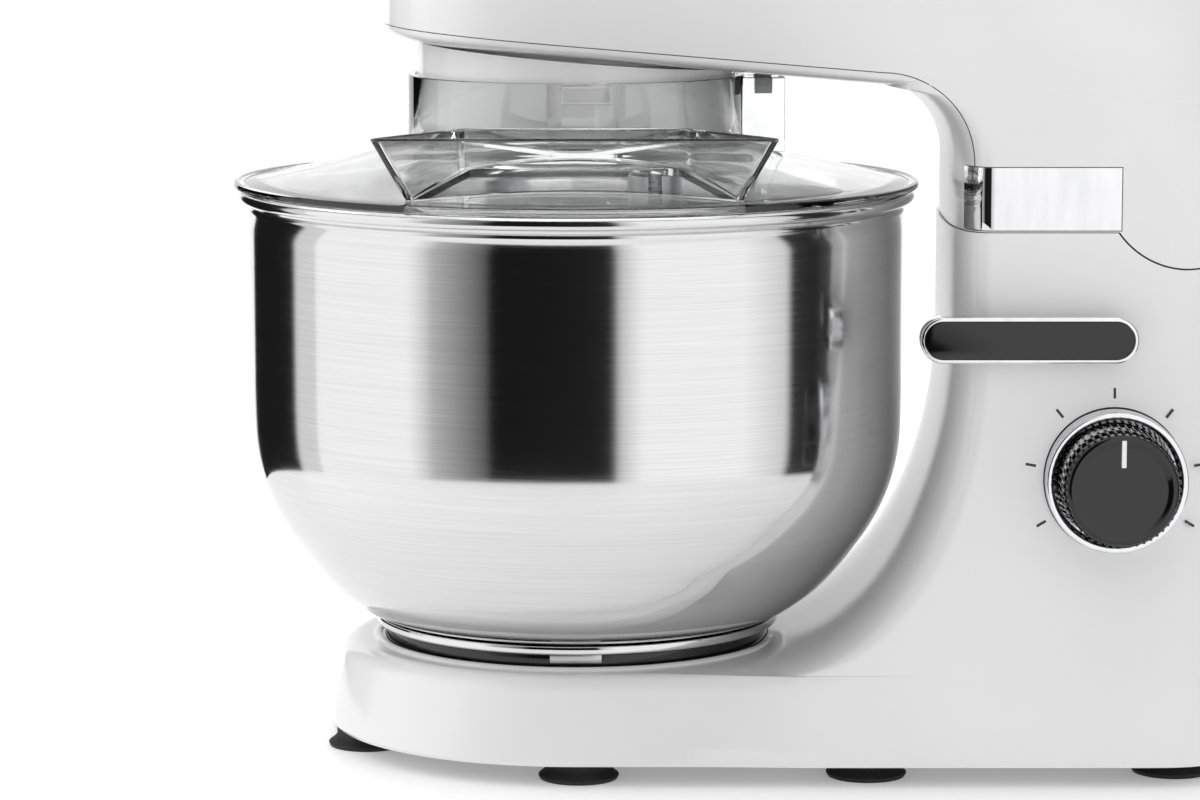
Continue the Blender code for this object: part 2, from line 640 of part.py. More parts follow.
    bracket_low = KNOB_Z + BEZEL_RADIUS + 4 * MM
    width = column_half_width(bracket_low) - HOUSING_WALL - 2.5 * MM
    bracket = add_part("column_bracket", box_mesh((BOWL_X + PIVOT_X - 22 * MM, -width, bracket_low),
                                                  (BOWL_X + PIVOT_X - 10 * MM, width,
                                                   bracket_low + 4 * MM)), steel)
    join(bracket, box_mesh((BOWL_X + PIVOT_X - 16 * MM, -EAR_INSIDE - 8 * MM, bracket_low + 0.5 * MM),
                           (BOWL_X + PIVOT_X + EAR_RADIUS, EAR_INSIDE + 8 * MM, bracket_low + 4 * MM)))
    for sign in (-1, 1):
        low, high = sorted((sign * EAR_INSIDE, sign * (EAR_INSIDE + EAR_THICKNESS)))
        round_top = arc((BOWL_X + PIVOT_X, PIVOT_Z), EAR_RADIUS, 0, 180, 10)
        foot = bracket_low + 1 * MM
        points = round_top + [(BOWL_X + PIVOT_X - EAR_RADIUS, foot), (BOWL_X + PIVOT_X + EAR_RADIUS, foot)]
        join(bracket, outline_mesh(points, low, high))
    cut(bracket, rod_mesh((BOWL_X + PIVOT_X, -60 * MM, PIVOT_Z), 120 * MM, PIN_RADIUS + GAP, "Y", 24))
    reach = LUG_INSIDE + EAR_THICKNESS + 4 * MM
    add_part("hinge_pin", rod_mesh((BOWL_X + PIVOT_X, -reach, PIVOT_Z), 2 * reach, PIN_RADIUS, "Y", 24),
             steel)

    knob_axis = (BOWL_X + KNOB_X, KNOB_Z)
    rim = BEZEL_RADIUS - 2.4 * MM
    turned("knob_bezel", [(BEZEL_RADIUS, -58 * MM), (BEZEL_RADIUS, -74 * MM),
                          (BEZEL_RADIUS - 0.8 * MM, -75 * MM),
                          (rim, -75 * MM), (rim, -68 * MM), (KNOB_SHAFT + GAP,
                              -68 * MM), (KNOB_SHAFT + GAP, -58 * MM)],
           chrome, knob_axis, "Y", 28)
    add_part("speed_switch", box_mesh((knob_axis[0] - 13 * MM, -38 * MM, KNOB_Z - 13 * MM),
                                      (knob_axis[0] + 13 * MM, -20 * MM, KNOB_Z + 11 * MM)), grey)
    add_part("control_board", box_mesh((BOWL_X + 208 * MM, -40 * MM, 40 * MM),
                                       (BOWL_X + 209.6 * MM, 40 * MM, 108 * MM)),
             board)
    turned("cord_gland", [(3.6 * MM, BOWL_X + GLAND_REAR), (4.6 * MM, BOWL_X + GLAND_REAR),
                          (6.6 * MM, BOWL_X + STAND_REAR + 0.5 * MM), (5 * MM,
                              BOWL_X + STAND_REAR + 0.4 * MM),
                          (5 * MM, BOWL_X + STAND_REAR - 6 * MM), (3.6 * MM, BOWL_X + STAND_REAR - 6 * MM)],
           rubber, (0, GLAND_Z), "X", 20)


def make_knob(black):
    """Speed knob with its shaft."""
    centre = (BOWL_X + KNOB_X, KNOB_Z)
    knob = turned("speed_knob", [(0, -KNOB_FACE + 1.2 * MM), (KNOB_RADIUS - 5 * MM, -KNOB_FACE + 0.8 * MM),
                                 (KNOB_RADIUS - 2.4 * MM, -KNOB_FACE), (KNOB_RADIUS - 0.8 * MM,
                                     -KNOB_FACE + 1 * MM),
                                 (KNOB_RADIUS, -70 * MM), (0, -70 * MM)], black, centre, "Y", 28)
    cut(knob, box_mesh((centre[0] - 1 * MM, -100 * MM, KNOB_Z + 9 * MM),
                       (centre[0] + 1 * MM, -KNOB_FACE + 2 * MM,
                                                                          KNOB_Z + 30 * MM)))
    join(knob, rod_mesh((centre[0], -71 * MM, KNOB_Z), 32 * MM, KNOB_SHAFT, "Y", 16))


def make_lever(chrome, black, steel):
    """Release lever on the near side, its shaft with the cam arm, and the latch bolt it draws back."""
    inner = -(LEVER_FACE - LEVER_THICKNESS)
    radius = LEVER_HEIGHT / 2
    tail = LEVER_LENGTH * 0.28

    def pill(inset, near, far):
        left = arc((BOWL_X + LEVER_X + tail - LEVER_LENGTH + radius, LEVER_Z), radius - inset, 90, 270, 10)
        right = arc((BOWL_X + LEVER_X + tail - radius, LEVER_Z), radius - inset, -90, 90, 10)
        return outline_mesh(left + right, near, far)

    rim = 1.3 * MM
    handle = add_part("lever_handle", pill(0, -LEVER_FACE, inner), chrome)
    cut(handle, pill(rim, -LEVER_FACE - 1 * MM, -LEVER_FACE + 2.5 * MM))
    add_part("lever_insert", pill(rim + GAP, -LEVER_FACE + 0.2 * MM, -LEVER_FACE + 2.5 * MM - GAP), black)
    shaft = add_part("lever_shaft", rod_mesh((BOWL_X + LEVER_X, inner + GAP, LEVER_Z), -inner - GAP + 4 * MM,
                                             LEVER_SHAFT_RADIUS, "Y", 16), steel)
    arm_half = 2.5 * MM
    join(shaft, box_mesh((BOWL_X + LEVER_X - arm_half, -10 * MM, LEVER_Z),
                         (BOWL_X + LEVER_X + arm_half, -4 * MM,
                                                                            LEVER_Z + CAM_ARM)))
    bolt_z = LEVER_Z + CAM_ARM + 2 * MM + BOLT_RADIUS
    start = BOWL_X + CATCH_X + CATCH_THICKNESS / 2 + 2 * GAP
    bolt = add_part("latch_bolt", rod_mesh((start, -7 * MM, bolt_z), 38 * MM, BOLT_RADIUS, "X", 16), steel)
    dog = BOWL_X + LEVER_X + arm_half + GAP
    join(bolt, box_mesh((dog, -9 * MM, bolt_z - BOLT_RADIUS - 6 * MM), (dog + 4 * MM, -5 * MM, bolt_z)))

    turns, coil_radius, pitch = 4, 6 * MM, 2.2 * MM
    points = []
    for i in range(turns * 8 + 1):
        a = 2 * math.pi * i / 8
        points.append((BOWL_X + LEVER_X + coil_radius * math.cos(a), -40 * MM + pitch * i / 8,
                       LEVER_Z + coil_radius * math.sin(a)))
    add_wire("lever_spring", points, 0.7 * MM, steel)


def add_wire(name, points, radius, material):
    """Wire along a list of points, made a mesh with closed ends."""
    curve = bpy.data.curves.new(name, 'CURVE')
    curve.dimensions = '3D'
    curve.bevel_depth = radius
    curve.bevel_resolution = 1
    curve.use_fill_caps = True
    spline = curve.splines.new('POLY')
    spline.points.add(len(points) - 1)
    for knot, place in zip(spline.points, points):
        knot.co = (*place, 1)
    holder = bpy.data.objects.new(name + "_curve", curve)
    CUTTERS.objects.link(holder)
    mesh = baked_mesh(holder)
    bpy.data.objects.remove(holder)
    return add_part(name, mesh, material)


# ------------------------------------------------------------------ bowl
def make_bowl(steel):
    """Mixing bowl with a rolled rim, and the foot ring that locks in the seat."""
    top = BOWL_RIM_HEIGHT
    outer = [(0, 48.2), (60, 47.6), (72.6, 47.0), (78.5, 50.2), (87.2, 56.9), (94.0, 64.0), (99.9, 71.3),
             (106.2, 80.2), (111.2, 89.4), (114.6, 99), (BOWL_RADIUS / MM - 0.1, 112),
             (BOWL_RADIUS / MM, 192)]
    outer = [(r * MM, z * MM) for r, z in outer]
    roll_centre = (BOWL_RADIUS + BOWL_ROLL - 0.4 * MM, top)
    roll = arc(roll_centre, BOWL_ROLL, -70, 160, 5)
    inner = [(max(r - BOWL_WALL * (1 if z > 60 * MM else 0.45), 0),
              z + BOWL_WALL * (0 if z > 100 * MM else 1))
             for r, z in reversed(outer)]
    turned("bowl", outer + roll + inner, steel, (BOWL_X, 0), steps=ROUND_STEPS)

    floor, inside = BOWL_FOOT_HEIGHT, SEAT_RADIUS - 3 * MM
    foot = turned("bowl_foot", [(inside, floor), (BOWL_FOOT_RADIUS, floor),
                                (BOWL_FOOT_RADIUS, floor + 3.1 * MM),
                                (inside, floor + 3.1 * MM)], steel, (BOWL_X, 0), steps=ROUND_STEPS)
    for i in range(3):
        a = math.radians(270 + 120 * i)
        lug = box_mesh((SEAT_RADIUS + GAP, -9 * MM, floor - 3 * MM),
                       (SEAT_RADIUS + 2 * MM, 9 * MM, floor + 1 * MM))
        join(foot, moved(lug, Matrix.Translation((BOWL_X, 0, 0)) @ Matrix.Rotation(a, 4, 'Z')))


# ------------------------------------------------------------------ head
def make_head(white, grey, chrome, clear, steel, cast, copper, core, nylon):
    """Shells, chassis, motor stator, hub skirt, lid and chute: everything that tilts as one."""
    upper = hollow_head(white)
    lower = add_part("head_lower_shell", upper.data.copy(), white)
    upper.name = "head_upper_shell"
    upper.data.name = upper.name
    cut(upper, seam_region(GAP / 2))
    keep_inside(lower, seam_region(-GAP / 2))
    for side in (-1, 1):
        pocket = trim_zone(side, GAP, TRIM_DEPTH + GAP)
        cut(upper, pocket)
        cut(lower, pocket)
        trim = add_part("neck_trim_near" if side < 0 else "neck_trim_far", neck_form(0), chrome)
        keep_inside(trim, trim_zone(side, 0, TRIM_DEPTH))
    slot = box_mesh((BOWL_X + CATCH_X - 4 * MM, -9 * MM, COLUMN_TOP - 5 * MM),
                    (BOWL_X + CATCH_X + 4 * MM, 9 * MM, COLUMN_TOP + 8 * MM))
    opening = box_mesh((BOWL_X + PIVOT_X - 31 * MM, -LUG_INSIDE - EAR_THICKNESS - 5 * MM, PIVOT_Z - 40 * MM),
                       (BOWL_X + STAND_REAR + 17 * MM, LUG_INSIDE + EAR_THICKNESS + 5 * MM, PIVOT_Z - 9 * MM))
    cut(upper, slot, opening)
    for i in range(5):
        z = 262 * MM + 8 * MM * i
        cut(upper, box_mesh((BOWL_X + HEAD_REAR - 33 * MM, -24 * MM, z),
                            (BOWL_X + STAND_REAR + 17 * MM, 24 * MM, z + 3 * MM)))
    cut(lower, rod_mesh((BOWL_X, 0, 230 * MM), FRAME_LOW - 230 * MM, HUB_NECK + GAP, sides=40))

    bore = HUB_RADIUS - HUB_WALL
    tall = FRAME_LOW - GAP
    skirt = turned("hub_skirt", [(bore, HUB_LOW), (HUB_RADIUS - 2.2 * MM, HUB_LOW),
                                 (HUB_RADIUS - 0.6 * MM, HUB_LOW + 0.7 * MM),
                                 (HUB_RADIUS, HUB_LOW + 2.4 * MM), (HUB_RADIUS, tall), (bore, tall),
                                 (bore, WEB_LOW + HUB_WALL), (HUB_NECK, WEB_LOW + HUB_WALL), (HUB_NECK, tall),
                                 (HUB_NECK - HUB_WALL, tall), (HUB_NECK - HUB_WALL, WEB_LOW), (bore,
                                     WEB_LOW)],
                   white, (BOWL_X, 0), steps=ROUND_STEPS)
    belly = cutter_object("belly", underside_above(GAP))
    cut(belly, rod_mesh((BOWL_X, 0, 200 * MM), 150 * MM, (HUB_NECK + bore) / 2, sides=40))
    cut(skirt, belly.data.copy())
    bpy.data.objects.remove(belly)

    ring = add_part("ring_gear", rod_mesh((BOWL_X, 0, GEAR_LOW), GEAR_FACE, bore - GAP, sides=ROUND_STEPS),
                    cast)
    pitch = PLANET_OFFSET * RING_TEETH / (RING_TEETH - PLANET_TEETH)
    cut(ring, gear_mesh((BOWL_X, 0), pitch + 0.6 * MM, pitch + 2.4 * MM, RING_TEETH, GEAR_LOW - 1 * MM,
                        GEAR_FACE + 2 * MM))

    frame = add_part("head_frame", box_mesh((BOWL_X - 44 * MM, -40 * MM, FRAME_LOW),
                                            (BOWL_X + PIVOT_X + 12 * MM, 40 * MM,
                                             FRAME_LOW + FRAME_WALL)), cast)
    frame_top = FRAME_LOW + FRAME_WALL
    for x in (FRONT_BEARING_X, REAR_BEARING_X):
        join(frame, box_mesh((BOWL_X + x, -15 * MM, frame_top - 1 * MM), (BOWL_X + x + BEARING_WIDTH, 15 * MM,
                                                                        MOTOR_Z + 15 * MM)))
        cut(frame, rod_mesh((BOWL_X + x - 5 * MM, 0, MOTOR_Z), 20 * MM, BEARING_RADIUS + GAP, "X", 24))
    join(frame, box_mesh((BOWL_X + STATOR_X + 4 * MM, -22 * MM, frame_top - 1 * MM),
                         (BOWL_X + STATOR_X + STATOR_LENGTH - 4 * MM, 22 * MM, frame_top + 10 * MM)))
    cut(frame, rod_mesh((BOWL_X + STATOR_X - 10 * MM, 0, MOTOR_Z), STATOR_LENGTH + 20 * MM,
                        MOTOR_RADIUS + GAP, "X", 40))
    for sign in (-1, 1):
        low, high = sorted((sign * LUG_INSIDE, sign * (LUG_INSIDE + EAR_THICKNESS)))
        bottom = arc((BOWL_X + PIVOT_X, PIVOT_Z), EAR_RADIUS, 180, 360, 10)
        points = bottom + [(BOWL_X + PIVOT_X + EAR_RADIUS, FRAME_LOW + 1 * MM),
                           (BOWL_X + PIVOT_X - EAR_RADIUS - 8 * MM, FRAME_LOW + 1 * MM)]
        join(frame, outline_mesh(points, low, high))
    join(frame, box_mesh((BOWL_X + CATCH_X - CATCH_THICKNESS / 2, -11 * MM + 3 * MM, CATCH_LOW),
                         (BOWL_X + CATCH_X + CATCH_THICKNESS / 2, 8 * MM, FRAME_LOW + 1 * MM)))
    cut(frame, rod_mesh((BOWL_X + PIVOT_X, -60 * MM, PIVOT_Z), 120 * MM, PIN_RADIUS + GAP, "Y", 24),
        rod_mesh((BOWL_X, 0, FRAME_LOW - 5 * MM), 20 * MM, DRIVE_RADIUS + GAP, sides=24),
        rod_mesh((BOWL_X + WHEEL_X, WHEEL_Y, FRAME_LOW - 5 * MM), 20 * MM, SHAFT_RADIUS + GAP, sides=24))

    stator = add_part("motor_stator", rod_mesh((BOWL_X + STATOR_X, 0, MOTOR_Z), STATOR_LENGTH,
                                               MOTOR_RADIUS, "X", 40), core)
    cut(stator, rod_mesh((BOWL_X + STATOR_X - 5 * MM, 0, MOTOR_Z), STATOR_LENGTH + 10 * MM,
                         ROTOR_RADIUS + 1 * MM, "X", 40))
    for name, x in (("field_coil_front", STATOR_X - 6 * MM - GAP),
                    ("field_coil_rear", STATOR_X + STATOR_LENGTH + GAP)):
        a = BOWL_X + x
        b = a + 6 * MM
        turned(name, [(22.5 * MM, a), (29 * MM, a), (30 * MM, (a + b) / 2), (29 * MM, b), (22.5 * MM, b)],
               copper,
               (0, MOTOR_Z), "X", 20)
    for name, x in (("bearing_front", FRONT_BEARING_X), ("bearing_rear", REAR_BEARING_X)):
        turned(name, [(SHAFT_RADIUS + GAP, BOWL_X + x), (BEARING_RADIUS, BOWL_X + x),
                      (BEARING_RADIUS, BOWL_X + x + BEARING_WIDTH), (SHAFT_RADIUS + GAP,
                          BOWL_X + x + BEARING_WIDTH)],
               steel, (0, MOTOR_Z), "X", 16)
    for name, sign in (("brush_holder_near", -1), ("brush_holder_far", 1)):
        low, high = sorted((sign * (COMMUTATOR_RADIUS + GAP), sign * 34 * MM))
        add_part(name, box_mesh((BOWL_X + COMMUTATOR_X + 3 * MM, low, MOTOR_Z - 4 * MM),
                                (BOWL_X + COMMUTATOR_X + 11 * MM, high, MOTOR_Z + 4 * MM)), nylon)

    hook_x = HUB_RADIUS + 6.8 * MM
    add_part("lid_catch", box_mesh((BOWL_X + hook_x, -5 * MM, COLLAR_TOP - 7 * MM),
                                   (BOWL_X + hook_x + 6 * MM, 5 * MM,
                                    seam_height(hook_x + 6 * MM) - BELLY_DEPTH - GAP)), grey)
    make_lid(clear)


def lid_top(radius):
    """Height of the lid's upper face: a shallow cone that steepens near the collar."""
    outer = 117 * MM
    run = outer - radius
    return LID_LOW + 1.6 * MM + 0.232 * run + 1.9 * MM * max(1 - (radius - COLLAR_RADIUS) / (20 * MM), 0) ** 2


def make_lid(clear):
    """Clear splash lid with its collar, and the pouring chute that stands on it."""
    collar_outer = COLLAR_RADIUS + LID_WALL
    radii = [113, 90, 75, 65]
    top = [(r * MM, lid_top(r * MM)) for r in radii]
    low = [(r, z - LID_WALL) for r, z in reversed(top)]
    outline = [(LID_RADIUS - 0.6 * MM, LID_LOW), (LID_RADIUS, LID_LOW + 0.8 * MM),
               (LID_RADIUS - 0.3 * MM, LID_LOW + 2.3 * MM),
               (LID_RADIUS - 1.6 * MM, LID_LOW + 2.7 * MM), (LID_RADIUS - 4 * MM, LID_LOW + 2.0 * MM)]
    outline += top
    outline += [(collar_outer, lid_top(collar_outer)), (collar_outer, COLLAR_TOP),
                (COLLAR_RADIUS, COLLAR_TOP),
                (COLLAR_RADIUS, lid_top(collar_outer) - LID_WALL - 1 * MM)]
    outline += low + [(LID_RADIUS - 6 * MM, LID_LOW)]
    lid = turned("splash_lid", outline, clear, (BOWL_X, 0), steps=ROUND_STEPS)
    tab_low = lid_top(collar_outer + 6 * MM) - 1.5 * MM
    tab = (COLLAR_RADIUS + 1 * MM, COLLAR_RADIUS + 16.6 * MM)
    join(lid, box_mesh((BOWL_X + tab[0], -9 * MM, tab_low), (BOWL_X + tab[1], 9 * MM, COLLAR_TOP - 1 * MM)))
    cut(lid, box_mesh((BOWL_X + collar_outer + 1.5 * MM, -6.6 * MM, tab_low + 4 * MM),
                      (BOWL_X + tab[1] - 2.4 * MM, 6.6 * MM, COLLAR_TOP + 5 * MM)),
        box_mesh((BOWL_X + SLOT_X - SLOT_HALF_LENGTH, -70 * MM, COLLAR_TOP - 6 * MM),
                 (BOWL_X + SLOT_X + SLOT_HALF_LENGTH, -50 * MM, COLLAR_TOP - 1.8 * MM)))
    mouth_low, mouth_high = CHUTE_FOOT - 12 * MM, CHUTE_FOOT + 12 * MM
    mouth = [chute_ring(CHUTE_FOOT, CHUTE_WALL + 1 * MM, z) for z in (mouth_low, mouth_high)]
    cut(lid, loft_mesh(mouth, "mouth"))

    chute = add_part("pouring_chute", loft_mesh([chute_ring(CHUTE_FOOT - 12 * MM, 0),
                                                 chute_ring(CHUTE_TOP, 0)]), clear)
    cut(chute, loft_mesh([chute_ring(CHUTE_FOOT - 14 * MM, CHUTE_WALL),
                          chute_ring(CHUTE_TOP + 2 * MM, CHUTE_WALL)]))
    under = [(0, 150 * MM), (130 * MM, 150 * MM), (130 * MM, LID_LOW + 3.2 * MM),
             (LID_RADIUS - 4 * MM, LID_LOW + 2.6 * MM)]
    under += [(r, z + GAP) for r, z in top] + [(collar_outer + GAP, lid_top(collar_outer) + GAP),
                                               (collar_outer + GAP, COLLAR_TOP), (0, COLLAR_TOP)]
    cut(chute, turned_mesh("under_lid", under, (BOWL_X, 0), "Z", ROUND_STEPS))


def chute_ring(height, inset, place=None):
    """Trapezium of the chute in plan at a height, drawn in by an inset."""
    flare = (height - CHUTE_FOOT) / (20 * MM)
    front = -(CHUTE_FRONT + 11 * MM * flare) + inset
    back = -CHUTE_BACK - inset
    front_half = 59 * MM + 10.5 * MM * flare - inset * 1.25
    back_half = 40.5 * MM + 0.5 * MM * flare - inset * 1.25
    z = height if place is None else place
    return [(BOWL_X - front_half, front, z), (BOWL_X + front_half, front, z), (BOWL_X + back_half, back, z),
            (BOWL_X - back_half, back, z)]


# ------------------------------------------------------------------ drive
def gear_mesh(centre, root, tip, teeth, low, face):
    """Straight-toothed wheel as a prism; its teeth are drawn just short of full depth."""
    points = []
    for i in range(teeth * 2):
        radius = tip if i % 2 else root
        a = math.pi * i / teeth
        points.append((centre[0] + radius * math.cos(a), centre[1] + radius * math.sin(a)))
    return outline_mesh(points, low, low + face, "Z", "gear")


def make_drive(steel, cast, nylon, copper, core, aluminium):
    """Rotor, reduction gears, planetary hub and the tool."""
    c = BOWL_X
    r = SHAFT_RADIUS
    laminations = (STATOR_X, STATOR_X + STATOR_LENGTH)
    profile = [(0, c + WORM_X - 4 * MM), (r, c + WORM_X - 4 * MM), (r, c + laminations[0] - 6 * MM),
               (16 * MM, c + laminations[0] - 5 * MM), (17 * MM, c + laminations[0]), (ROTOR_RADIUS,
                   c + laminations[0]),
               (ROTOR_RADIUS, c + laminations[1]), (17 * MM, c + laminations[1]), (16 * MM,
                   c + laminations[1] + 5 * MM),
               (r, c + laminations[1] + 6 * MM), (r, c + COMMUTATOR_X), (COMMUTATOR_RADIUS, c + COMMUTATOR_X),
               (COMMUTATOR_RADIUS, c + COMMUTATOR_X + 14 * MM), (r, c + COMMUTATOR_X + 14 * MM),
               (r, c + REAR_BEARING_X + BEARING_WIDTH + 3 * MM), (0,
                   c + REAR_BEARING_X + BEARING_WIDTH + 3 * MM)]
    turned("motor_rotor", profile, core, (0, MOTOR_Z), "X", 20)
    thread = []
    for i in range(WORM_RIDGES):
        x = c + WORM_X + WORM_PITCH * i
        thread += [(4.9 * MM, x), (WORM_RADIUS, x + WORM_PITCH / 2)]
    end = c + WORM_X + WORM_PITCH * WORM_RIDGES
    thread += [(4.9 * MM, end), (r + GAP, end), (r + GAP, c + WORM_X)]
    turned("worm", thread, steel, (0, MOTOR_Z), "X", 12)
    fan = turned("cooling_fan", [(r + GAP, c + FAN_X), (26 * MM, c + FAN_X), (26 * MM, c + FAN_X + 1.6 * MM),
                                 (9 * MM, c + FAN_X + 1.6 * MM), (9 * MM, c + FAN_X + 9 * MM),
                                 (r + GAP, c + FAN_X + 9 * MM)], nylon, (0, MOTOR_Z), "X", 20)
    for i in range(7):
        blade = box_mesh((c + FAN_X + 0.8 * MM, -0.7 * MM, 8 * MM),
                         (c + FAN_X + 8.5 * MM, 0.7 * MM, 25.5 * MM))
        turn = Matrix.Translation((0, 0, MOTOR_Z)) @ Matrix.Rotation(2 * math.pi * i / 7, 4, 'X')
        join(fan, moved(blade, turn))

    wheel_at = (c + WHEEL_X, WHEEL_Y)
    z = MOTOR_Z - 6 * MM
    worm_wheel = add_part("worm_wheel", gear_mesh(wheel_at, WHEEL_RADIUS - 1.2 * MM, WHEEL_RADIUS, 36, z,
                                                  12 * MM), nylon)
    cut(worm_wheel, rod_mesh((*wheel_at, z - 1 * MM), 14 * MM, r + GAP, sides=20))
    pinion = add_part("pinion", gear_mesh(wheel_at, 7.6 * MM, PINION_RADIUS, 12, MAIN_GEAR_LOW, 12 * MM),
                      steel)
    cut(pinion, rod_mesh((*wheel_at, MAIN_GEAR_LOW - 1 * MM), 14 * MM, r + GAP, sides=20))
    add_part("reduction_shaft", rod_mesh((*wheel_at, FRAME_LOW + 0.5 * MM), MOTOR_Z + 12 * MM - FRAME_LOW,
                                         r, sides=20), steel)

    main = add_part("main_gear", gear_mesh((c, 0), 23.5 * MM, MAIN_RADIUS, 33, MAIN_GEAR_LOW, 12 * MM), cast)
    cut(main, rod_mesh((c, 0, MAIN_GEAR_LOW - 1 * MM), 14 * MM, DRIVE_RADIUS + GAP, sides=24))
    add_part("drive_shaft", rod_mesh((c, 0, CARRIER_TOP + GAP), MAIN_GEAR_LOW + 14 * MM - CARRIER_TOP,
                                     DRIVE_RADIUS, sides=24),
             steel)
    rim = HUB_RADIUS - HUB_WALL - 1 * MM
    carrier = turned("planet_carrier", [(0, HUB_LOW + 0.8 * MM), (rim - 2 * MM, HUB_LOW + 0.8 * MM),
                                        (rim, HUB_LOW + 2.8 * MM),
                                        (rim, CARRIER_TOP), (0, CARRIER_TOP)], aluminium, (c,
                                            0), steps=ROUND_STEPS)
    cut(carrier, rod_mesh((c + PLANET_OFFSET, 0, HUB_LOW - 5 * MM), 20 * MM, SPINDLE_RADIUS + GAP, sides=24))

    planet = add_part("planet_gear", gear_mesh((c + PLANET_OFFSET, 0), PLANET_OFFSET / 2 - 1.6 * MM,
                                               PLANET_OFFSET / 2 + 0.2 * MM, PLANET_TEETH,
                                               GEAR_LOW + 0.2 * MM, GEAR_FACE - 0.4 * MM), steel)
    cut(planet, rod_mesh((c + PLANET_OFFSET, 0, GEAR_LOW - 1 * MM), 12 * MM, SPINDLE_RADIUS + GAP, sides=20))
    axis = (c + PLANET_OFFSET, 0)
    spindle = add_part("tool_spindle", rod_mesh((*axis, SPINDLE_LOW), GEAR_LOW + GEAR_FACE - SPINDLE_LOW,
                                                SPINDLE_RADIUS,
                                                sides=24), steel)
    cut(spindle, rod_mesh((axis[0], -20 * MM, PIN_HEIGHT), 40 * MM, 2 * MM + GAP / 2, "Y", 12))
    add_part("tool_pin", rod_mesh((axis[0], -9.5 * MM, PIN_HEIGHT), 19 * MM, 2 * MM, "Y", 12), steel)
    make_beater(axis, aluminium)


def beater_half_width(z):
    """Side outline of the flat beater: narrow at the foot, widest in the middle."""
    share = (z - BEATER_LOW) / (BEATER_HIGH - BEATER_LOW)
    return BEATER_HALF_WIDTH * (max(4 * share * (1 - share), 0) ** 0.42) * (0.86 + 0.2 * share)


def make_beater(axis, aluminium):
    """Flat beater with a spine, two ribs a side and a socket for the spindle."""
    def outline(inset):
        low, high = BEATER_LOW + inset, BEATER_HIGH - inset
        levels = [low + (high - low) * (0.5 - 0.5 * math.cos(math.pi * i / 12)) for i in range(13)]
        side = [(max(beater_half_width(z) - inset, 2 * MM), z) for z in levels]
        return side + [(-y, z) for y, z in reversed(side)]

    thick = 3.5 * MM
    beater = add_part("flat_beater", outline_mesh(outline(0), axis[0] - thick, axis[0] + thick, "X"),
                      aluminium)
    hole = cutter_object("hole", outline_mesh(outline(8.5 * MM), axis[0] - 10 * MM, axis[0] + 10 * MM, "X"))
    cut(hole, box_mesh((axis[0] - 20 * MM, -4 * MM, 0), (axis[0] + 20 * MM, 4 * MM, 300 * MM)))
    for z in (88 * MM, 118 * MM):
        bar = outline_mesh([(0, z), (70 * MM, z + 22 * MM), (70 * MM, z + 29 * MM), (0, z + 7 * MM),
                            (-70 * MM, z + 29 * MM),
                            (-70 * MM, z + 22 * MM)], axis[0] - 20 * MM, axis[0] + 20 * MM, "X")
        cut(hole, bar)
    cut(beater, hole.data.copy())
    bpy.data.objects.remove(hole)
    join(beater, rod_mesh((*axis, BEATER_HIGH - 6 * MM), SOCKET_HIGH - BEATER_HIGH + 6 * MM, SOCKET_RADIUS,
                          sides=24))
    cut(beater, rod_mesh((*axis, SPINDLE_LOW - 1 * MM), 60 * MM, SPINDLE_RADIUS + GAP, sides=24),
        box_mesh((axis[0] - 2.4 * MM, -15 * MM, PIN_HEIGHT - 2.4 * MM),
                 (axis[0] + 2.4 * MM, 15 * MM, 230 * MM)))


MOVING = {
    "head_axis": ((BOWL_X + PIVOT_X, 0, PIVOT_Z), (
        "head_upper_shell", "head_lower_shell", "neck_trim_near", "neck_trim_far", "hub_skirt", "ring_gear",
        "head_frame", "motor_stator", "field_coil_front", "field_coil_rear", "bearing_front", "bearing_rear",
        "brush_holder_near", "brush_holder_far", "lid_catch", "splash_lid", "pouring_chute")),
    "bowl_axis": ((BOWL_X, 0, BOWL_FOOT_HEIGHT), ("bowl", "bowl_foot")),
    "rotor_axis": ((BOWL_X + STATOR_X, 0, MOTOR_Z), ("motor_rotor", "worm", "cooling_fan")),
    "reduction_axis": ((BOWL_X + WHEEL_X, WHEEL_Y, MAIN_GEAR_LOW),
                       ("worm_wheel", "pinion", "reduction_shaft")),
    "hub_axis": ((BOWL_X, 0, CARRIER_TOP), ("main_gear", "drive_shaft", "planet_carrier")),
    "tool_axis": ((BOWL_X + PLANET_OFFSET, 0, CARRIER_TOP), (
        "planet_gear", "tool_spindle", "tool_pin", "flat_beater")),
    "knob_axis": ((BOWL_X + KNOB_X, -KNOB_FACE, KNOB_Z), ("speed_knob",)),
    "lever_axis": ((BOWL_X + LEVER_X, -LEVER_FACE, LEVER_Z), ("lever_handle", "lever_insert", "lever_shaft")),
    "latch_axis": ((BOWL_X + LEVER_X, -7 * MM, LEVER_Z + CAM_ARM + 2 * MM + BOLT_RADIUS), ("latch_bolt",)),
}


def hang_on_axes():
    """Give each moving group an empty on its joint's axis as its parent; nothing moves."""
    for name, (place, nodes) in MOVING.items():
        axis = bpy.data.objects.new(name, None)
        axis.location = place
        PARTS.objects.link(axis)
        for node in nodes:
            part = PARTS.objects[node]
            part.parent = axis
            part.matrix_parent_inverse = Matrix.Translation(place).inverted()


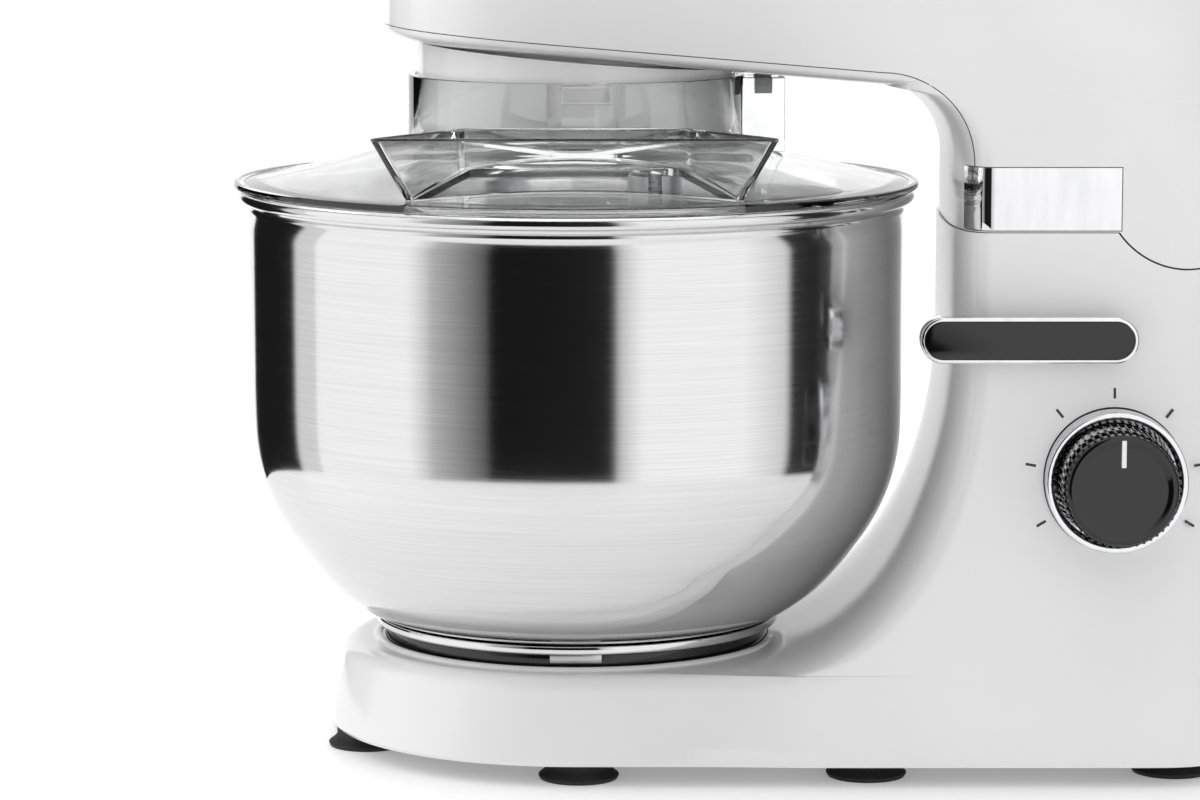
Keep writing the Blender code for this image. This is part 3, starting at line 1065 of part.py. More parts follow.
def main():
    """Build every sub-part."""
    clear_scene()
    white = finish("white_gloss_abs", (0.82, 0.82, 0.82), 0.18)
    black = finish("black_gloss_abs", (0.012, 0.012, 0.013), 0.12)
    grey = finish("grey_moulded_plastic", (0.30, 0.30, 0.31), 0.5)
    clear = finish("clear_polycarbonate", (0.9, 0.92, 0.93), 0.05)
    steel = finish("machined_steel", (0.62, 0.62, 0.63), 0.28, 1.0)
    inox = finish("polished_stainless_steel", (0.72, 0.71, 0.70), 0.12, 1.0)
    chrome = finish("chrome_plate", (0.80, 0.80, 0.81), 0.06, 1.0)
    cast = finish("cast_zinc", (0.50, 0.50, 0.51), 0.45, 1.0)
    aluminium = finish("cast_aluminium", (0.66, 0.66, 0.67), 0.35, 1.0)
    copper = finish("copper_winding", (0.62, 0.26, 0.12), 0.35, 1.0)
    core = finish("steel_laminations", (0.20, 0.20, 0.21), 0.5, 1.0)
    nylon = finish("natural_nylon", (0.75, 0.72, 0.64), 0.45)
    rubber = finish("black_rubber", (0.02, 0.02, 0.02), 0.75)
    board = finish("circuit_board", (0.03, 0.20, 0.08), 0.5)
    make_stand(white, black, grey, steel, chrome, rubber, board)
    make_knob(black)
    make_lever(chrome, black, steel)
    make_bowl(inox)
    make_head(white, grey, chrome, clear, steel, cast, copper, core, nylon)
    make_drive(steel, cast, nylon, copper, core, aluminium)
    hang_on_axes()


main()
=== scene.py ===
"""Looks of a tilt-head stand mixer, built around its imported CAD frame.

Every length is in metres in the frame's own axes: +Z up, the bowl towards -X and the column towards +X.
The places of axes and joints come from the frame; each class below holds its sub-assembly's own sizes.
"""

import json
import logging
import math
from dataclasses import dataclass
from enum import Enum
from typing import Iterable, Optional, Sequence

import bmesh
import bpy
from bpy.types import Material, Mesh, Node
from bpy.types import NodeSocket as Socket
from bpy.types import NodeTree as Tree
from mathutils import Matrix, Vector

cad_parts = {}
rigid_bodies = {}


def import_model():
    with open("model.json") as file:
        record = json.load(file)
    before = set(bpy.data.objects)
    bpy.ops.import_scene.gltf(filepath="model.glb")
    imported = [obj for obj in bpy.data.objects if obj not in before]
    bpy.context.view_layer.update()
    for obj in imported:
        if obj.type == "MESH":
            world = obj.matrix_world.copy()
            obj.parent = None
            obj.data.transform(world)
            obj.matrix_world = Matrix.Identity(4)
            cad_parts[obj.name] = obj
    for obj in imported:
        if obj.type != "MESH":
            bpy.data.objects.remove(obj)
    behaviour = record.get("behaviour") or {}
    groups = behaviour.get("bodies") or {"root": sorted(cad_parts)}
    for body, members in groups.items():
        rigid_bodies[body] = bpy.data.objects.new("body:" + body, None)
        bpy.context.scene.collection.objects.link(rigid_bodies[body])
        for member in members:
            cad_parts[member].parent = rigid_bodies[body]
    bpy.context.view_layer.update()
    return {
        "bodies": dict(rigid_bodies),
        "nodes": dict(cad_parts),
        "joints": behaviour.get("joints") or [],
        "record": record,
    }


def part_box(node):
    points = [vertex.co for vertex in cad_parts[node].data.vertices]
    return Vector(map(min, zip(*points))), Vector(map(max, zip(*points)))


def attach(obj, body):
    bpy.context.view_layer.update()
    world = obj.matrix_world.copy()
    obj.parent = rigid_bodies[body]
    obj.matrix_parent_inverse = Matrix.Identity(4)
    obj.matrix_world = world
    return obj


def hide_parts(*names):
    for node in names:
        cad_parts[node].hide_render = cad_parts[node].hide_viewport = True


LOG = logging.getLogger("stand_mixer")
MM = 0.001
CLEARANCE = 0.3 * MM
WELD = 2e-6
WAVES = 0.314  # scale of a wave texture that makes one stripe in a length of 1
TINY = 1e-7
FEET = [f"foot_{place}_{side}" for place in ("front", "mid", "rear_mid", "rear") for side in ("near", "far")]

Point = tuple[float, float, float]
Profile = list[tuple[float, float]]


class Axis(Enum):
    """Axis that a piece is turned about or drawn along."""

    X = "X"
    Y = "Y"
    Z = "Z"

    def turn(self) -> Matrix:
        """Rotation that takes +Z to this axis.

        Returns:
            The rotation.
        """
        return {
            Axis.X: Matrix.Rotation(math.pi / 2, 4, "Y"),
            Axis.Y: Matrix.Rotation(-math.pi / 2, 4, "X"),
            Axis.Z: Matrix.Identity(4),
        }[self]


class Cut(Enum):
    """Boolean operations by their Blender names."""

    AWAY = "DIFFERENCE"
    JOIN = "UNION"
    KEEP = "INTERSECT"


# ---------------------------------------------------------------------------------------- mesh tools
def placed(name: str, data: bpy.types.ID) -> bpy.types.Object:
    """New object in the scene that holds some data."""
    thing = bpy.data.objects.new(name, data)
    bpy.context.scene.collection.objects.link(thing)
    return thing


def mesh_of(bm: bmesh.types.BMesh, name: str, outward: bool = True) -> Mesh:
    """Turn a bmesh into mesh data.

    Args:
        bm: The bmesh, which is freed.
        name: Name of the mesh.
        outward: Recalculate the normals to point out of a closed skin.

    Returns:
        The new mesh.
    """
    if outward:
        bmesh.ops.recalc_face_normals(bm, faces=bm.faces)
    mesh = bpy.data.meshes.new(name)
    bm.to_mesh(mesh)
    bm.free()
    return mesh


def box(low: Point, high: Point) -> Mesh:
    """Box between two corners.

    Args:
        low: Lowest corner.
        high: Highest corner.

    Returns:
        The closed mesh.
    """
    bm = bmesh.new()
    size = [b - a for a, b in zip(low, high)]
    middle = [(a + b) / 2 for a, b in zip(low, high)]
    bmesh.ops.create_cube(bm, size=1.0, matrix=Matrix.Translation(middle) @ Matrix.Diagonal((*size, 1)))
    return mesh_of(bm, "box")


def rod(start: Point, length: float, radius: float, axis: Axis = Axis.Z, sides: int = 96) -> Mesh:
    """Cylinder from a start point along an axis.

    Args:
        start: Centre of the first end.
        length: Length along the axis.
        radius: Radius of the rod.
        axis: Axis it runs along.
        sides: Number of sides.

    Returns:
        The closed mesh.
    """
    bm = bmesh.new()
    place = Matrix.Translation(start) @ axis.turn() @ Matrix.Translation((0, 0, length / 2))
    bmesh.ops.create_cone(
        bm, cap_ends=True, segments=sides, radius1=radius, radius2=radius, depth=length, matrix=place)
    return mesh_of(bm, "rod")


def prism(points: Sequence[tuple[float, float]], low: float, high: float,
          axis: Axis = Axis.Y) -> Mesh:
    """Prism over a flat outline.

    Args:
        points: The outline, in the two other axes in order.
        low: Where it starts on the axis across the outline.
        high: Where it ends.
        axis: The axis across the outline.

    Returns:
        The closed mesh.
    """
    spot = {
        Axis.X: lambda p, t: (t, p[0], p[1]),
        Axis.Y: lambda p, t: (p[0], t, p[1]),
        Axis.Z: lambda p, t: (p[0], p[1], t),
    }[axis]
    return loft([[spot(p, low) for p in points], [spot(p, high) for p in points]])


def loft(rings: Sequence[Sequence[Point]], hoop: bool = False) -> Mesh:
    """Closed skin over rings of equal point counts.

    Args:
        rings: The rings in order.
        hoop: Join the last ring to the first, where otherwise both ends are capped.

    Returns:
        The closed mesh.
    """
    bm = bmesh.new()
    loops = [[bm.verts.new(p) for p in ring] for ring in rings]
    for one, two in zip(loops, loops[1:] + loops[:1] if hoop else loops[1:]):
        for i in range(len(one)):
            j = (i + 1) % len(one)
            bm.faces.new((one[i], one[j], two[j], two[i]))
    if not hoop:
        bm.faces.new(loops[0])
        bm.faces.new(loops[-1])
    return mesh_of(bm, "loft")


def lathe(profile: Profile, centre: tuple[float, float] = (0.0, 0.0), axis: Axis = Axis.Z,
          steps: int = 128) -> Mesh:
    """Turn a closed outline of (radius, height) points about an axis.

    Args:
        profile: The outline; points at radius 0 become poles.
        centre: Where the axis stands, in the two other axes in order.
        axis: Axis of the turning.
        steps: Number of steps round.

    Returns:
        The closed mesh.
    """
    bm = bmesh.new()
    rings: list[list[bmesh.types.BMVert]] = []
    for radius, height in profile:
        if radius <= TINY:
            rings.append([bm.verts.new((0, 0, height))])
        else:
            angles = [2 * math.pi * i / steps for i in range(steps)]
            rings.append([bm.verts.new((radius * math.cos(a), radius * math.sin(a), height)) for a in angles])
    for one, two in zip(rings, rings[1:] + rings[:1]):
        if len(one) == 1 and len(two) == 1:
            continue
        for i in range(steps):
            j = (i + 1) % steps
            corners = [one[i % len(one)], one[j % len(one)], two[j % len(two)], two[i % len(two)]]
            bm.faces.new(list(dict.fromkeys(corners)))
    place = {Axis.Z: (*centre, 0), Axis.Y: (centre[0], 0, centre[1]), Axis.X: (0, *centre)}[axis]
    bmesh.ops.transform(bm, matrix=Matrix.Translation(place) @ axis.turn(), verts=bm.verts)
    return mesh_of(bm, "lathe")


def arc(centre: tuple[float, float], radius: float, start: float, end: float, count: int) -> Profile:
    """Points on an arc, angles in degrees."""
    angles = [math.radians(start + (end - start) * i / count) for i in range(count + 1)]
    return [(centre[0] + radius * math.cos(a), centre[1] + radius * math.sin(a)) for a in angles]


def rounded(corners: Profile, radius: float, count: int = 4, turned: bool = True) -> Profile:
    """Round each corner of a closed outline by a radius, less where an edge is short.

    Args:
        corners: The outline's corners.
        radius: Radius wanted.
        count: Steps in each corner.
        turned: Whether it is a lathe profile, whose corners on the axis stay sharp.

    Returns:
        The rounded outline.
    """
    out: Profile = []
    for i, here in enumerate(corners):
        point, before, after = Vector(here), Vector(corners[i - 1]), Vector(corners[(i + 1) % len(corners)])
        back, ahead = before - point, after - point
        reach = min(radius, back.length * 0.45, ahead.length * 0.45)
        if turned and (here[0] <= TINY or reach < 10 * TINY):
            out.append(here)
            continue
        first, last = point + back.normalized() * reach, point + ahead.normalized() * reach
        for k in range(count + 1):
            t = k / count
            q = first * (1 - t) ** 2 + point * 2 * t * (1 - t) + last * t * t
            out.append((q.x, q.y))
    return out


def smooth_curve(points: Profile, count: int) -> Profile:
    """Catmull-Rom curve through open points.

    Args:
        points: The points it goes through.
        count: Steps in each span.

    Returns:
        The curve's points, the last of them included.
    """
    ends = [points[0], *points, points[-1]]
    out: Profile = []
    for p0, p1, p2, p3 in zip(ends, ends[1:], ends[2:], ends[3:]):
        for k in range(count):
            t = k / count
            out.append(tuple(
                0.5 * (2 * b + (c - a) * t + (2 * a - 5 * b + 4 * c - d) * t * t + (3 * b - a - 3 * c + d) * t ** 3)
                for a, b, c, d in zip(p0, p1, p2, p3)))
    out.append(points[-1])
    return out


def ease(value: float, low: float, high: float) -> float:
    """Smooth step from 0 at low to 1 at high."""
    share = min(max((value - low) / (high - low), 0.0), 1.0)
    return share * share * (3 - 2 * share)


def bulge(value: float, power: float) -> float:
    """Superelliptic power of a sine or cosine, with its sign kept."""
    return math.copysign(abs(value) ** (2 / power), value)


def baked(holder: bpy.types.Object, outward: bool = False) -> Mesh:
    """Apply an object's modifiers and remove the object.

    Args:
        holder: The object.
        outward: Recalculate the normals to point outwards.

    Returns:
        Its plain mesh with the doubles merged.
    """
    bpy.context.view_layer.update()
    graph = bpy.context.evaluated_depsgraph_get()
    bm = bmesh.new()
    bm.from_mesh(bpy.data.meshes.new_from_object(holder.evaluated_get(graph)))
    bpy.data.objects.remove(holder)
    bmesh.ops.remove_doubles(bm, verts=bm.verts, dist=WELD)
    return mesh_of(bm, "baked", outward)


def carve(mesh: Mesh, how: Cut, *tools: Mesh) -> Mesh:
    """Apply Boolean operations one after the other.

    Args:
        mesh: The mesh to work on.
        how: The operation.
        *tools: The meshes to cut, join or keep by.

    Returns:
        The mesh after the last operation.
    """
    for tool in tools:
        work, other = placed("work", mesh), placed("other", tool)
        change = work.modifiers.new("change", "BOOLEAN")
        change.operation = how.value
        change.object = other
        change.solver = "EXACT"
        mesh = baked(work)
        bpy.data.objects.remove(other)
    return mesh


def softened(mesh: Mesh, width: float, segments: int = 3, angle: float = 40.0) -> Mesh:
    """Round the sharp edges of a mesh with a Bevel modifier.

    Args:
        mesh: The mesh to soften.
        width: Width of the rounding.
        segments: Steps across it.
        angle: Edges sharper than this, in degrees, are rounded.

    Returns:
        The softened mesh.
    """
    work = placed("soft", mesh)
    bevel = work.modifiers.new("edge", "BEVEL")
    bevel.width = width
    bevel.segments = segments
    bevel.limit_method = "ANGLE"
    bevel.angle_limit = math.radians(angle)
    return baked(work)


def soft_box(low: Point, high: Point, width: float, segments: int = 2) -> Mesh:
    """Box between two corners with rounded edges."""
    return softened(box(low, high), width, segments)


def moved(mesh: Mesh, matrix: Matrix) -> Mesh:
    """The mesh after a transform."""
    mesh.transform(matrix)
    return mesh


def joined(meshes: Iterable[Mesh]) -> Mesh:
    """Several meshes as one, without any Boolean.

    Args:
        meshes: The meshes, which may touch.

    Returns:
        One mesh.
    """
    bm = bmesh.new()
    for mesh in meshes:
        bm.from_mesh(mesh)
    return mesh_of(bm, "joined", outward=False)


def show(name: str, mesh: Mesh, material: Material, body: str,
         replaces: Sequence[str] = (), angle: float = 32.0) -> None:
    """Place a finished mesh as a piece that rides on a body.

    Args:
        name: Name of the piece.
        mesh: Its mesh, in the frame's own place.
        material: Its one material.
        body: The CAD body that it moves with.
        replaces: The CAD nodes that it stands for.
        angle: Edges sharper than this, in degrees, stay sharp.
    """
    piece = placed(name, mesh)
    mesh.name = name
    mesh.materials.clear()
    mesh.materials.append(material)
    mesh.shade_smooth()
    mesh.set_sharp_from_angle(angle=math.radians(angle))
    if replaces:
        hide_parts(*replaces)
    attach(piece, body)
    # a material of the same name in the frame leaves a number on this one's name
    LOG.info("%s: %d faces on %s", name, len(mesh.polygons), body)


# ---------------------------------------------------------------------------------------- node tools
def linear(colour: str) -> tuple[float, float, float, float]:
    """Linear RGBA of an sRGB hex colour such as "#C0C0C0"."""
    parts = [int(colour[i:i + 2], 16) / 255 for i in (1, 3, 5)]
    return (*[p / 12.92 if p <= 0.04045 else ((p + 0.055) / 1.055) ** 2.4 for p in parts], 1.0)


def add_node(tree: Tree, kind: str, inputs: Optional[dict] = None,
             stops: Optional[Sequence[tuple[float, str]]] = None, **settings: object) -> Node:
    """Add a node with its settings and links.

    Args:
        tree: Shader or geometry tree.
        kind: Blender's name of the node's type.
        inputs: Value or output socket for each input, by its name or number.
        stops: Places and colours of a colour ramp.
        **settings: The node's own properties.

    Returns:
        The node.
    """
    made = tree.nodes.new(kind)
    for name, value in settings.items():
        setattr(made, name, value)
    for name, value in (inputs or {}).items():
        socket = made.inputs[name]
        if isinstance(value, Socket):
            tree.links.new(value, socket)
        else:
            socket.default_value = value
    if stops:
        ramp = made.color_ramp
        while len(ramp.elements) < len(stops):
            ramp.elements.new(0.5)
        for element, (place, colour) in zip(ramp.elements, stops):
            element.position = place
            element.color = linear(colour)
    return made


class Look:
    """A material in the making: its tree, its main shader and its object coordinates."""

    def __init__(self, name: str) -> None:
        """Start an empty Principled material.

        Args:
            name: Name of the material.
        """
        self.material = bpy.data.materials.new(name)
        self.material.use_nodes = True
        self.tree = self.material.node_tree
        self.shader = self.tree.nodes["Principled BSDF"]
        self.coords = add_node(self.tree, "ShaderNodeTexCoord").outputs["Object"]

    def set(self, **values: object) -> "Look":
        """Set or link the shader's sockets; underscores stand for spaces.

        Args:
            **values: Value or output socket for each input of the shader.

        Returns:
            This look.
        """
        for name, value in values.items():
            socket = self.shader.inputs[name.replace("_", " ")]
            if isinstance(value, Socket):
                self.tree.links.new(value, socket)
            else:
                socket.default_value = value
        return self

    def stretched(self, scale: Point, shift: Point = (0.0, 0.0, 0.0)) -> Socket:
        """Object coordinates shifted, then scaled along each axis.

        Args:
            scale: Factor along each axis.
            shift: Point that becomes the origin.

        Returns:
            The new coordinates.
        """
        shifted = add_node(self.tree, "ShaderNodeVectorMath", {0: self.coords, 1: shift},
                           operation="SUBTRACT")
        return add_node(self.tree, "ShaderNodeVectorMath", {0: shifted.outputs[0], 1: scale},
                        operation="MULTIPLY").outputs[0]

    def noise(self, size_mm: float, detail: float = 2.0, vector: Optional[Socket] = None,
              roughness: float = 0.5) -> Socket:
        """Noise whose grains are a real size across.

        Args:
            size_mm: Size of a grain in millimetres.
            detail: Number of finer layers.
            vector: Coordinates, where they are not the object's.
            roughness: Strength of the finer layers.

        Returns:
            The noise, from 0 to 1.
        """
        return add_node(self.tree, "ShaderNodeTexNoise", {
            "Vector": vector or self.coords, "Scale": 1.0 / (size_mm * MM), "Detail": detail,
            "Roughness": roughness}).outputs["Fac"]

    def ranged(self, value: Socket, low: float, high: float) -> Socket:
        """Map the middle of a noise, 0.3 to 0.7, to a range."""
        return add_node(self.tree, "ShaderNodeMapRange", {
            "Value": value, "From Min": 0.3, "From Max": 0.7, "To Min": low, "To Max": high}).outputs["Result"]

    def blend(self, value: Socket, first: str, second: str) -> Socket:
        """Colour ramp between two hex colours over the middle of a noise."""
        return add_node(self.tree, "ShaderNodeValToRGB", {"Fac": value},
                        stops=[(0.3, first), (0.7, second)]).outputs["Color"]

    def bump(self, height: Socket, depth_mm: float,
             below: Optional[Socket] = None) -> Socket:
        """Bump of a real depth, on top of another one if it is given.

        Args:
            height: Height from 0 to 1.
            depth_mm: Depth in millimetres of a height of 1.
            below: Normal that it lies on.

        Returns:
            The normal.
        """
        inputs: dict = {"Height": height, "Strength": 1.0, "Distance": depth_mm * MM}
        if below is not None:
            inputs["Normal"] = below
        return add_node(self.tree, "ShaderNodeBump", inputs).outputs["Normal"]


# ---------------------------------------------------------------------------------------- finishes
@dataclass(frozen=True)
class Finish:
    """What most finishes have: a name, the two tones that they wander between and a roughness."""

    name: str
    light: str
    dark: str
    roughness: float


@dataclass(frozen=True)
class MouldedPlastic(Finish):
    """Injection-moulded plastic: an even colour under a skin that is polished or spark-textured."""

    grain_mm: float
    depth_mm: float
    ior: float = 1.53

    def material(self) -> Material:
        """The node material: slow flow-mark tone, fine grain in bump and gloss.

        Returns:
            The finished material.
        """
        look = Look(self.name)
        flow = look.noise(60.0, 1.0)
        grain = look.noise(self.grain_mm, 2.0)
        look.set(Base_Color=look.blend(flow, self.dark, self.light), IOR=self.ior,
                 Roughness=look.ranged(grain, self.roughness * 0.85, self.roughness * 1.15),
                 Normal=look.bump(grain, self.depth_mm))
        return look.material


@dataclass(frozen=True)
class ClearPlastic:
    """Clear polycarbonate from a polished mould: a faint smoke tone, crisp highlights, slight flow ripple."""

    name: str
    tint: str
    roughness: float
    ior: float = 1.585

    def material(self) -> Material:
        """The node material: full transmission with a slow ripple.

        Returns:
            The finished material.
        """
        look = Look(self.name)
        ripple = look.noise(14.0, 1.0)
        look.set(Base_Color=look.blend(look.noise(40.0, 1.0), self.tint, "#FFFFFF"), IOR=self.ior,
                 Transmission_Weight=1.0, Roughness=look.ranged(ripple, self.roughness * 0.7,
                     self.roughness * 1.3),
                 Normal=look.bump(ripple, 0.02))
        return look.material


@dataclass(frozen=True)
class TurnedMetal(Finish):
    """Metal with fine lines round an axis, from a lathe or a grinding belt, that smear highlights across them."""

    line_mm: float
    depth_mm: float
    axis: Axis = Axis.Z

    def material(self) -> Material:
        """The node material: a noise squeezed along the axis gives the lines.

        Returns:
            The finished material.
        """
        look = Look(self.name)
        slow = 0.012
        scale = {Axis.X: (1, slow, slow), Axis.Y: (slow, 1, slow), Axis.Z: (slow, slow, 1)}[self.axis]
        lines = look.noise(self.line_mm, 3.0, look.stretched(scale), 0.65)
        look.set(Metallic=1.0, Base_Color=look.blend(lines, self.dark, self.light),
                 Roughness=look.ranged(lines, self.roughness * 0.8, self.roughness * 1.25),
                 Normal=look.bump(lines, self.depth_mm))
        return look.material


@dataclass(frozen=True)
class PolishedBowlSteel:
    """Spun stainless steel: belt lines round the straight wall, and a mirror polish on the curve below it."""

    name: str
    centre_x: float
    light: str = "#DCDCDC"
    dark: str = "#CFCFCF"
    line_mm: float = 0.38
    wall_roughness: float = 0.1
    mirror_roughness: float = 0.025
    polish_low: float = 92 * MM
    polish_high: float = 108 * MM

    def material(self) -> Material:
        """The node material: the lines fade out down the wall into the mirror polish.

        Returns:
            The finished material.
        """
        look = Look(self.name)
        slow = 0.006
        lines = look.noise(self.line_mm, 3.0, look.stretched((slow, slow, 1), (self.centre_x, 0, 0)), 0.7)
        height = add_node(look.tree, "ShaderNodeSeparateXYZ", {0: look.coords}).outputs["Z"]
        wall = add_node(look.tree, "ShaderNodeMapRange", {
            "Value": height, "From Min": self.polish_low, "From Max": self.polish_high}).outputs["Result"]
        rough = add_node(look.tree, "ShaderNodeMapRange", {
            "Value": wall, "To Min": self.mirror_roughness, "To Max": self.wall_roughness}).outputs["Result"]
        uneven = look.ranged(lines, 0.8, 1.25)
        rough = add_node(look.tree, "ShaderNodeMath", {0: rough, 1: uneven}, operation="MULTIPLY").outputs[0]
        depth = add_node(look.tree, "ShaderNodeMath", {0: lines, 1: wall}, operation="MULTIPLY").outputs[0]
        look.set(Metallic=1.0, Base_Color=look.blend(lines, self.dark, self.light), Roughness=rough,
                 Normal=look.bump(depth, 0.0018))
        return look.material


@dataclass(frozen=True)
class PlatedMetal(Finish):
    """Bright chrome plate: a mirror with only the faintest unevenness and wiping marks."""

    def material(self) -> Material:
        """Build the node material.

        Returns:
            The finished material.
        """
        look = Look(self.name)
        wiped = look.noise(5.0, 3.0, look.stretched((1, 1, 0.25)))
        look.set(Metallic=1.0, Base_Color=look.blend(wiped, self.dark, self.light),
                 Roughness=look.ranged(wiped, self.roughness * 0.6, self.roughness * 1.5),
                 Normal=look.bump(look.noise(8.0, 1.0), 0.006))
        return look.material


@dataclass(frozen=True)
class CastMetal(Finish):
    """Die-cast or tumbled metal: a dull grain that scatters the light, its tone wandering in broad patches."""

    grain_mm: float
    depth_mm: float

    def material(self) -> Material:
        """Build the node material.

        Returns:
            The finished material.
        """
        look = Look(self.name)
        grain = look.noise(self.grain_mm, 4.0, roughness=0.6)
        patch = look.noise(12.0, 2.0)
        look.set(Metallic=1.0, Base_Color=look.blend(patch, self.dark, self.light),
                 Roughness=look.ranged(grain, self.roughness * 0.8, self.roughness * 1.2),
                 Normal=look.bump(grain, self.depth_mm))
        return look.material


@dataclass(frozen=True)
class LayeredMetal(Finish):
    """Stacked sheets or laid wire: even stripes across one axis, with dark lines between them."""

    pitch_mm: float
    axis: Axis

    def material(self) -> Material:
        """The node material: a sine wave as wide as one layer.

        Returns:
            The finished material.
        """
        look = Look(self.name)
        wave = add_node(look.tree, "ShaderNodeTexWave", {
            "Vector": look.coords, "Scale": WAVES / (self.pitch_mm * MM), "Distortion": 0.4,
            "Detail": 1.0},
            bands_direction=self.axis.value).outputs["Fac"]
        look.set(Metallic=1.0, Roughness=self.roughness,
                 Base_Color=look.blend(wave, self.dark, self.light), Normal=look.bump(wave, 0.05))
        return look.material


@dataclass(frozen=True)
class SoftRubber:
    """Moulded black rubber: almost no gloss, a dusty bloom and a fine mould grain."""

    name: str
    light: str
    dark: str

    def material(self) -> Material:
        """Build the node material.

        Returns:
            The finished material.
        """
        look = Look(self.name)
        bloom = look.noise(6.0, 3.0)
        look.set(Base_Color=look.blend(bloom, self.dark, self.light), IOR=1.52,
                 Roughness=look.ranged(bloom, 0.62, 0.8), Normal=look.bump(look.noise(0.8, 2.0), 0.03))
        return look.material


@dataclass(frozen=True)
class CircuitLaminate:
    """Glass-fibre board under green solder mask, with pale copper tracks beneath it."""

    name: str
    mask: str
    track: str

    def material(self) -> Material:
        """The node material: the joints of a brick pattern stand for the tracks.

        Returns:
            The finished material.
        """
        look = Look(self.name)
        turned = add_node(look.tree, "ShaderNodeVectorRotate", {"Vector": look.coords, "Angle": math.pi / 2},
                          rotation_type="Y_AXIS").outputs[0]
        cells = add_node(look.tree, "ShaderNodeTexBrick", {
            "Vector": turned, "Scale": 1 / (6 * MM), "Mortar Size": 0.06,
            "Color1": linear(self.mask), "Color2": linear(self.mask), "Mortar": linear(self.track)})
        look.set(Base_Color=cells.outputs["Color"], Roughness=0.35, IOR=1.5,
                 Normal=look.bump(cells.outputs["Fac"], 0.05))
        return look.material


# ---------------------------------------------------------------------------------------- repeats
class Repeats:
    """Geometry Nodes trees for what repeats round an axis or over a list of places."""

    @staticmethod
    def _group(name: str, sizes: Sequence[tuple[str, str, object]]) -> tuple[Tree,
        Node]:
        """A geometry group with named inputs, the last of them its material.

        Args:
            name: Name of the group.
            sizes: Name, socket type and default of each input between the geometry and the material.

        Returns:
            The tree and the node of its inputs.
        """
        tree = bpy.data.node_groups.new(name, "GeometryNodeTree")
        tree.interface.new_socket("Geometry", in_out="INPUT", socket_type="NodeSocketGeometry")
        for label, kind, default in (*sizes, ("Material", "NodeSocketMaterial", None)):
            socket = tree.interface.new_socket(label, in_out="INPUT", socket_type=kind)
            if default is not None:
                socket.default_value = default
        tree.interface.new_socket("Geometry", in_out="OUTPUT", socket_type="NodeSocketGeometry")
        return tree, add_node(tree, "NodeGroupInput")

    @staticmethod
    def _dressed(tree: Tree, geometry: Socket, given: Node) -> None:
        """Make a tree's geometry real, set its material and lead it out.

        Args:
            tree: The tree.
            geometry: What it has made so far.
            given: The node of its inputs.
        """
        real = add_node(tree, "GeometryNodeRealizeInstances", {"Geometry": geometry})
        dressed = add_node(tree, "GeometryNodeSetMaterial", {
            "Geometry": real.outputs["Geometry"], "Material": given.outputs["Material"]})
        add_node(tree, "NodeGroupOutput", {"Geometry": dressed.outputs["Geometry"]})

    @staticmethod
    def _run(tree: Tree, start: Mesh, values: dict) -> Mesh:
        """Evaluate a tree on a mesh.

        Args:
            tree: The tree.
            start: The mesh that it starts from.
            values: Value of each input by its name.

        Returns:
            The plain result, its normals pointing out.
        """
        holder = placed("repeat", start)
        change = holder.modifiers.new("repeat", "NODES")
        change.node_group = tree
        keys = {item.name: item.identifier for item in tree.interface.items_tree if item.in_out == "INPUT"}
        for label, value in values.items():
            change[keys[label]] = value
        return baked(holder, True)

    @classmethod
    def spun(cls, profile: Profile, turns: int, material: Material) -> Mesh:
        """Sweep a closed (radius, height) outline once round the Z axis.

        Args:
            profile: The outline; it may run along the axis.
            turns: Number of steps round.
            material: Material that the tree sets.

        Returns:
            The closed mesh, about the Z axis.
        """
        core = 1 * MM
        tree, given = cls._group("spun_form", [
            ("Turns", "NodeSocketInt", 64), ("Core Radius", "NodeSocketFloat", core)])
        outline = add_node(tree, "GeometryNodeMeshToCurve", {"Mesh": given.outputs["Geometry"]})
        path = add_node(tree, "GeometryNodeCurvePrimitiveCircle", {
            "Resolution": given.outputs["Turns"], "Radius": given.outputs["Core Radius"]}, mode="RADIUS")
        skin = add_node(tree, "GeometryNodeCurveToMesh", {
            "Curve": path.outputs["Curve"], "Profile Curve": outline.outputs["Curve"]})
        welded = add_node(tree, "GeometryNodeMergeByDistance", {
            "Geometry": skin.outputs["Mesh"], "Distance": 2 * WELD})
        cls._dressed(tree, welded.outputs["Geometry"], given)
        start = bpy.data.meshes.new("outline")
        count = len(profile)
        start.from_pydata([(r - core, -z, 0) for r, z in profile],
                          [(i, (i + 1) % count) for i in range(count)], [])
        return cls._run(tree, start, {"Turns": turns, "Core Radius": core, "Material": material})

    @classmethod
    def round_axis(cls, item: Mesh, count: int, material: Material,
                   start: float = 0.0) -> Mesh:
        """Repeat a mesh, drawn on the +X side of the Z axis, round that axis.

        Args:
            item: The mesh of one piece.
            count: How many there are.
            material: Material that the tree sets.
            start: Angle of the first one, in degrees.

        Returns:
            All of them as one plain mesh.
        """
        tree, given = cls._group("ring_of_pieces", [
            ("Count", "NodeSocketInt", 12), ("Start Angle", "NodeSocketFloat", 0.0),
            ("Step Angle", "NodeSocketFloat", 0.1)])
        points = add_node(tree, "GeometryNodePoints", {"Count": given.outputs["Count"]})
        index = add_node(tree, "GeometryNodeInputIndex")
        step = add_node(tree, "ShaderNodeMath", {0: index.outputs[0], 1: given.outputs["Step Angle"],
                                                 2: given.outputs["Start Angle"]}, operation="MULTIPLY_ADD")
        turn = add_node(tree, "ShaderNodeCombineXYZ", {"Z": step.outputs[0]})
        spread = add_node(tree, "GeometryNodeInstanceOnPoints", {
            "Points": points.outputs[0], "Instance": given.outputs["Geometry"], "Rotation": turn.outputs[0]})
        cls._dressed(tree, spread.outputs["Instances"], given)
        return cls._run(tree, item, {"Count": count, "Start Angle": math.radians(start),
                                     "Step Angle": 2 * math.pi / count, "Material": material})

